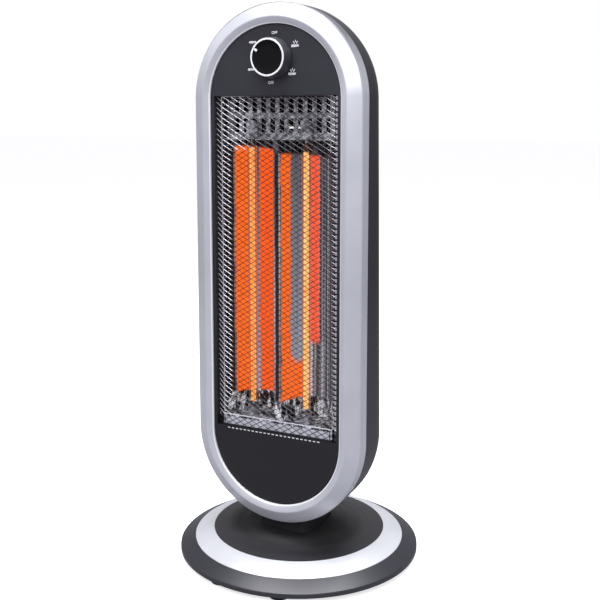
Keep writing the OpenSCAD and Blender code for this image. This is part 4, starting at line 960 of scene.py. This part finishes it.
def makeFrontRing():
    outer, turn, wall, back = housing["halfWidth"], ring["round"], ring["wall"], housing["ringBack"]
    crestR, innerR = outer - ring["crestIn"], outer - ring["width"]
    side, crest, inner = ring["sideFront"], ring["crest"], ring["innerFront"]
    small, ledgeR = ring["innerRound"], innerR + ring["ledge"]
    slope = math.degrees(math.atan2(crest - side - 0.8 * turn, ring["crestIn"] - 0.4 * turn))
    section = [(outer, back)] + arcPoints(outer - turn, side, turn, 0, 90 - slope, 7)
    section += arcPoints(crestR + ring["crestShift"], crest - turn, turn, 90 - slope, 100, 7)
    section += arcPoints(innerR + small, inner - small, small, 120, 180, 4)
    section += [(innerR, ring["panelBack"]), (ledgeR, ring["panelBack"]), (ledgeR, inner - wall),
                (crestR, crest - ring["underCrest"]),
                (outer - ring["underSide"][0], side + ring["underSide"][1]),
                (outer - wall, side - ring["sideDrop"]), (outer - wall, back)]
    piece = turned("frontRing", section, housing["steps"], closed=True)
    stretchUpright(piece)
    standUp(piece)
    smoothEdges(piece, 32)
    finishPiece(piece, made["ringSilver"], "heater_body", "silver_ring", "front_ring")


makeFrontRing()
print("front ring done")

# mesh guard: its sides fold back at the last column
guard = dict(halfWidth=77.3, low=158.3, high=534.7, front=57.7, across=15, up=64, wires=(0.6, 0.56),
             thick=0.4, layer=0.12, tilt=28, fold=24, edge=0.9, edgeThick=0.5, lipLine=171.5, lipThick=0.8,
             lipBack=0.1, bead=(2.6, 4.0, 0.3), beadX=74, beadFront=0.1)
hem = dict(z=156, front=60.2, dashes=23, start=-60, step=5.2, size=(2.86, 1.1, 0.3))
cellW = 2 * guard["halfWidth"] / guard["across"]
cellH = (guard["high"] - guard["low"]) / guard["up"]
crease = guard["halfWidth"] - cellW


def makeStrand(side, width):
    strand = box("strand", (math.hypot(cellW, cellH), width, guard["thick"]), (0, 0, side * guard["layer"]))
    strand.rotation_euler = (side * math.radians(guard["tilt"]), 0, side * math.atan2(cellH, cellW))
    # the two ends stay open, because the next strand goes on there
    editing(strand, "FACE")
    pickFaces(strand, lambda face: abs(face.normal.x) > 0.7)
    bpy.ops.mesh.delete(type="ONLY_FACE")
    bpy.ops.object.mode_set(mode="OBJECT")
    applyPlace(strand)
    return strand


def foldSide(net, side):
    # turns the outer ends of the last column back about the crease
    editing(net)
    pickVerts(net, lambda co: co.x * side > (crease + 2) * mm)
    bpy.ops.transform.rotate(value=-side * math.radians(guard["fold"]), orient_axis="Y",
                             center_override=(side * crease * mm, 0, guard["front"] * mm))
    bpy.ops.object.mode_set(mode="OBJECT")


def makeNet():
    # one crossing of two wires is drawn, then repeated over the window
    net = joinPieces("meshGuard", [makeStrand(side, width) for side, width in zip((-1, 1), guard["wires"])])
    firstCell = (-guard["halfWidth"] + cellW / 2, guard["low"] + cellH / 2, guard["front"])
    net.location = [value * mm for value in firstCell]
    applyPlace(net)
    repeat(net, guard["across"], (cellW, 0, 0))
    repeat(net, guard["up"], (0, cellH, 0))
    for side in (-1, 1):
        foldSide(net, side)
    return net


def makeEdges():
    # strips along the top and bottom, and lines over the lower lip and along the creases, bright where the
    # wire finish paints highlights
    low, high, front, edge = guard["low"], guard["high"], guard["front"], guard["edge"]
    wide, thick = 2 * crease, guard["edgeThick"]
    bars = [box("edge", (wide, edge, thick), (0, y, front)) for y in (high - edge / 2, low + edge / 2)]
    lipPlace = (0, guard["lipLine"], front - guard["lipBack"])
    bars.append(box("lipLine", (wide, edge, guard["lipThick"]), lipPlace))
    for side in (-1, 1):
        bars.append(box("crease", (edge, high - low, thick), (side * crease, (low + high) / 2, front)))
    return bars


# beads down the right fold, which the wire finish paints light as its glints
def makeGlintBeads():
    place = (guard["beadX"], guard["low"] + cellH / 2, guard["front"] + guard["beadFront"])
    bead = box("bead", guard["bead"], place)
    repeat(bead, guard["up"], (0, cellH, 0))
    return bead


def makeGuard():
    net = makeNet()
    edges = makeEdges()
    # dashes on the panel under the lip, which the wire finish paints white as highlights
    dashes = [box("hem", hem["size"], (hem["start"] + column * hem["step"], hem["z"], hem["front"]))
              for column in range(hem["dashes"])]
    net = joinPieces("meshGuard", [net] + edges + dashes + [makeGlintBeads()])
    standUp(net)
    finishPiece(net, made["wireSteel"], "heater_body", "chrome_wire", "front_guard")


makeGuard()
print("guard done")

# the knob; its dish is given as radii and depths below the front
dial = dict(z=574.7, panel=60, front=75.4, back=60.6, base=22.2, baseIn=21.6, baseTop=61.3, face=20.5,
            edge=1, edgeDrop=1.2, dish=((18.05, 0.25), (17, 0.45), (10, 0.65), (axis, 0.7)), hollow=18,
            hollowDeep=6, bore=3.1, turn=60, steps=96)
# the white line round its face, with its edges eased, and the pointer
dialLine = dict(inner=18.2, outer=20.05, thick=0.5, sunk=0.1, below=0.03, easeIn=0.1, easeOut=0.15)
pointer = dict(size=(2.6, 4.6, 0.9), inside=1.9, below=0.75, corner=0.5)


def placeOnDial(piece):
    piece.location = (0, dial["z"] * mm, 0)
    applyPlace(piece)
    standUp(piece)


def makeKnob():
    # from the bore over the hollow underside and the side to the slightly dished face
    back, edge = dial["back"], dial["edge"]
    roof, seat = back + dial["hollowDeep"], dial["front"] - dialLine["thick"]
    section = [(dial["bore"], roof), (dial["hollow"], roof), (dial["hollow"], back), (dial["baseIn"], back),
               (dial["base"], dial["baseTop"])]
    section += arcPoints(dial["face"] - edge, seat - dial["edgeDrop"], edge, 5, 80, 4)
    section += [(dialLine["inner"], seat)]
    section += [(radius, dial["front"] - depth) for radius, depth in dial["dish"]]
    knob = turned("knobBody", section, dial["steps"])
    placeOnDial(knob)
    smoothEdges(knob, 32)
    finishPiece(knob, made["knobBlack"], "knob", "knob_black", "knob_body")


def makeKnobRing():
    inner, outer, easeIn, easeOut = [dialLine[part] for part in ("inner", "outer", "easeIn", "easeOut")]
    low = dial["front"] - dialLine["thick"] - dialLine["sunk"]
    high = dial["front"] - dialLine["below"]
    section = [(outer, low), (outer, high - easeOut), (outer - easeOut, high), (inner + easeIn, high),
               (inner, high - easeIn), (inner, low)]
    piece = turned("knobRing", section, dial["steps"], closed=True)
    placeOnDial(piece)
    smoothEdges(piece, 30)
    finishPiece(piece, made["printWhite"], "knob", "print_white", "knob_ring")


def makePointer():
    reach = dialLine["inner"] - pointer["inside"]
    mark = box("knobPointer", pointer["size"], (0, reach, dial["front"] - pointer["below"]))
    roundCorners(mark, pointer["corner"], 4)
    mark.rotation_euler = (0, 0, math.radians(dial["turn"]))
    applyPlace(mark)
    placeOnDial(mark)
    finishPiece(mark, made["printWhite"], "knob", "print_white", "knob_pointer")


# words beside the knob: text, place across and up, size, weight, and whether the swing sign stands above it
legends = [("OFF", 1.2, 26.4, 4.0, 0.09, False), ("OFF", -3.3, -26.2, 4.0, 0.11, False),
           ("400W", -25.8, 17.2, 3.4, 0.15, False), ("400W", -27.6, -11.8, 3.4, 0.15, False),
           ("800W", 25.8, 11.8, 3.5, 0.17, True), ("800W", 22.3, -17.4, 3.5, 0.17, True)]
ink = dict(thick=0.04, off=0.05)
sign = dict(across=0.4, up=2.7, bar=(1.3, 0.7, 0.1), barX=1.5, barY=0.1, stroke=(0.75, 2.2, 0.1), strokeY=2.4,
            fan=(-55, 0, 55))


def makeWord(word, x, z, size, weight):
    deselectAll()
    bpy.ops.object.text_add(location=(0, 0, 0))
    text = bpy.context.object
    text.data.body = word
    text.data.size = size * mm
    text.data.align_x = "CENTER"
    text.data.align_y = "CENTER"
    text.data.extrude = ink["thick"] * mm
    text.data.offset = weight * mm
    only(text)
    bpy.ops.object.convert(target="MESH")
    text = bpy.context.object
    text.rotation_euler = (math.pi / 2, 0, 0)
    text.location = (x * mm, -(dial["panel"] + ink["off"]) * mm, (dial["z"] + z) * mm)
    applyPlace(text)
    return text


def makeSwingSign(x, z):
    # a fan of strokes over two short bars: the heater turns from side to side
    strokes = [box("bar", sign["bar"], (side * sign["barX"], sign["barY"], 0)) for side in (-1, 1)]
    for angle in sign["fan"]:
        stroke = box("stroke", sign["stroke"], (0, sign["strokeY"], 0))
        stroke.rotation_euler = (0, 0, math.radians(angle))
        applyPlace(stroke)
        strokes.append(stroke)
    piece = joinPieces("swingSign", strokes)
    piece.location = (x * mm, (dial["z"] + z) * mm, (dial["panel"] + ink["off"]) * mm)
    applyPlace(piece)
    standUp(piece)
    return piece


def makeLegends():
    words = []
    for word, x, z, size, weight, swings in legends:
        words.append(makeWord(word, x, z, size, weight))
        if swings:
            words.append(makeSwingSign(x + sign["across"], z + sign["up"]))
    printed = joinPieces("dialLegends", words)
    finishPiece(printed, made["printWhite"], "heater_body", "print_white")


makeKnob()
makeKnobRing()
makePointer()
makeLegends()
print("knob and legends done")

# soft studio: the pale floor and sky are seen white, and light the heater less
stage = dict(sky=0.39, cool=(0.95, 0.95, 1.0), white=(1, 1, 1), floorSize=40, floorLift=0.66,
             floor=((0.86, 0.86, 0.87), (0.88, 0.88, 0.88)), floorBounce=(0.28, 0.28, 0.3), floorCloud=3,
             floorRough=0.8, floorSheen=0.1)
# each lamp: its place, what it aims at, its size and its power in watts
lamps = dict(topLamp=((0.05, -0.05, 1.9), (0, 0, 0.2), (1.6, 1.3), 66),
             frontLamp=((-0.35, -1.9, 1.6), (0, 0, 0.4), (1.1, 0.7), 12),
             leftLamp=((-1.6, -0.7, 0.9), (0, 0, 0.35), (0.6, 1.2), 1.5),
             rightLamp=((1.1, -1.5, 1.2), (0, 0, 0.3), (0.7, 0.9), 12))


def makeFloor():
    deselectAll()
    bpy.ops.mesh.primitive_plane_add(size=stage["floorSize"], location=(0, 0, 0))
    floor = bpy.context.object
    floor.name = "floor"
    paint, tree, shader = newFinish("floorPaint")
    cloud = linkNoise(tree, stage["floorCloud"], 2)
    seen = tree.nodes.new("ShaderNodeLightPath").outputs["Is Camera Ray"]
    bounced, plain = mottled(tree, cloud, stage["floorBounce"]), tintBetween(tree, cloud, *stage["floor"])
    dress(tree, shader, tint=mixColours(tree, seen, bounced, plain), rough=stage["floorRough"],
          sheen=stage["floorSheen"], glowTint=(*stage["white"], 1),
          glowPower=calculate(tree, "MULTIPLY", seen, stage["floorLift"]))
    floor.data.materials.append(paint)


def makeSky():
    world = bpy.data.worlds.new("studio")
    bpy.context.scene.world = world
    world.use_nodes = True
    tree = world.node_tree
    back = tree.nodes["Background"]
    seen = tree.nodes.new("ShaderNodeLightPath").outputs["Is Camera Ray"]
    tree.links.new(tintBetween(tree, seen, stage["cool"], stage["white"], 0, 1), back.inputs["Color"])
    tree.links.new(rangeTo(tree, seen, stage["sky"], 1), back.inputs["Strength"])


def addLamp(name, place, aim, size, power):
    lampData = bpy.data.lights.new(name, "AREA")
    lampData.shape = "RECTANGLE"
    lampData.size, lampData.size_y = size
    lampData.energy = power
    lampData.color = stage["cool"]
    lamp = bpy.data.objects.new(name, lampData)
    bpy.context.scene.collection.objects.link(lamp)
    lamp.location = place
    lamp.rotation_euler = (Vector(aim) - Vector(place)).to_track_quat("-Z", "Y").to_euler()


def addCamera():
    # its place and lens are fitted to the photograph
    view = dict(place=(0.48685, -0.96411, 0.51052), turn=26.724, down=7.517, sensor=36, lens=56.517,
                shiftY=-0.0957)
    cameraData = bpy.data.cameras.new("camera")
    cameraData.sensor_width = view["sensor"]
    cameraData.lens = view["lens"]
    cameraData.shift_y = view["shiftY"]
    camera = bpy.data.objects.new("camera", cameraData)
    bpy.context.scene.collection.objects.link(camera)
    camera.location = view["place"]
    camera.rotation_euler = (math.radians(90 - view["down"]), 0, math.radians(view["turn"]))
    bpy.context.scene.camera = camera


makeFloor()
makeSky()
for name, settings in lamps.items():
    addLamp(name, *settings)
addCamera()
bpy.context.scene.view_settings.view_transform = "Standard"
print("stage done")
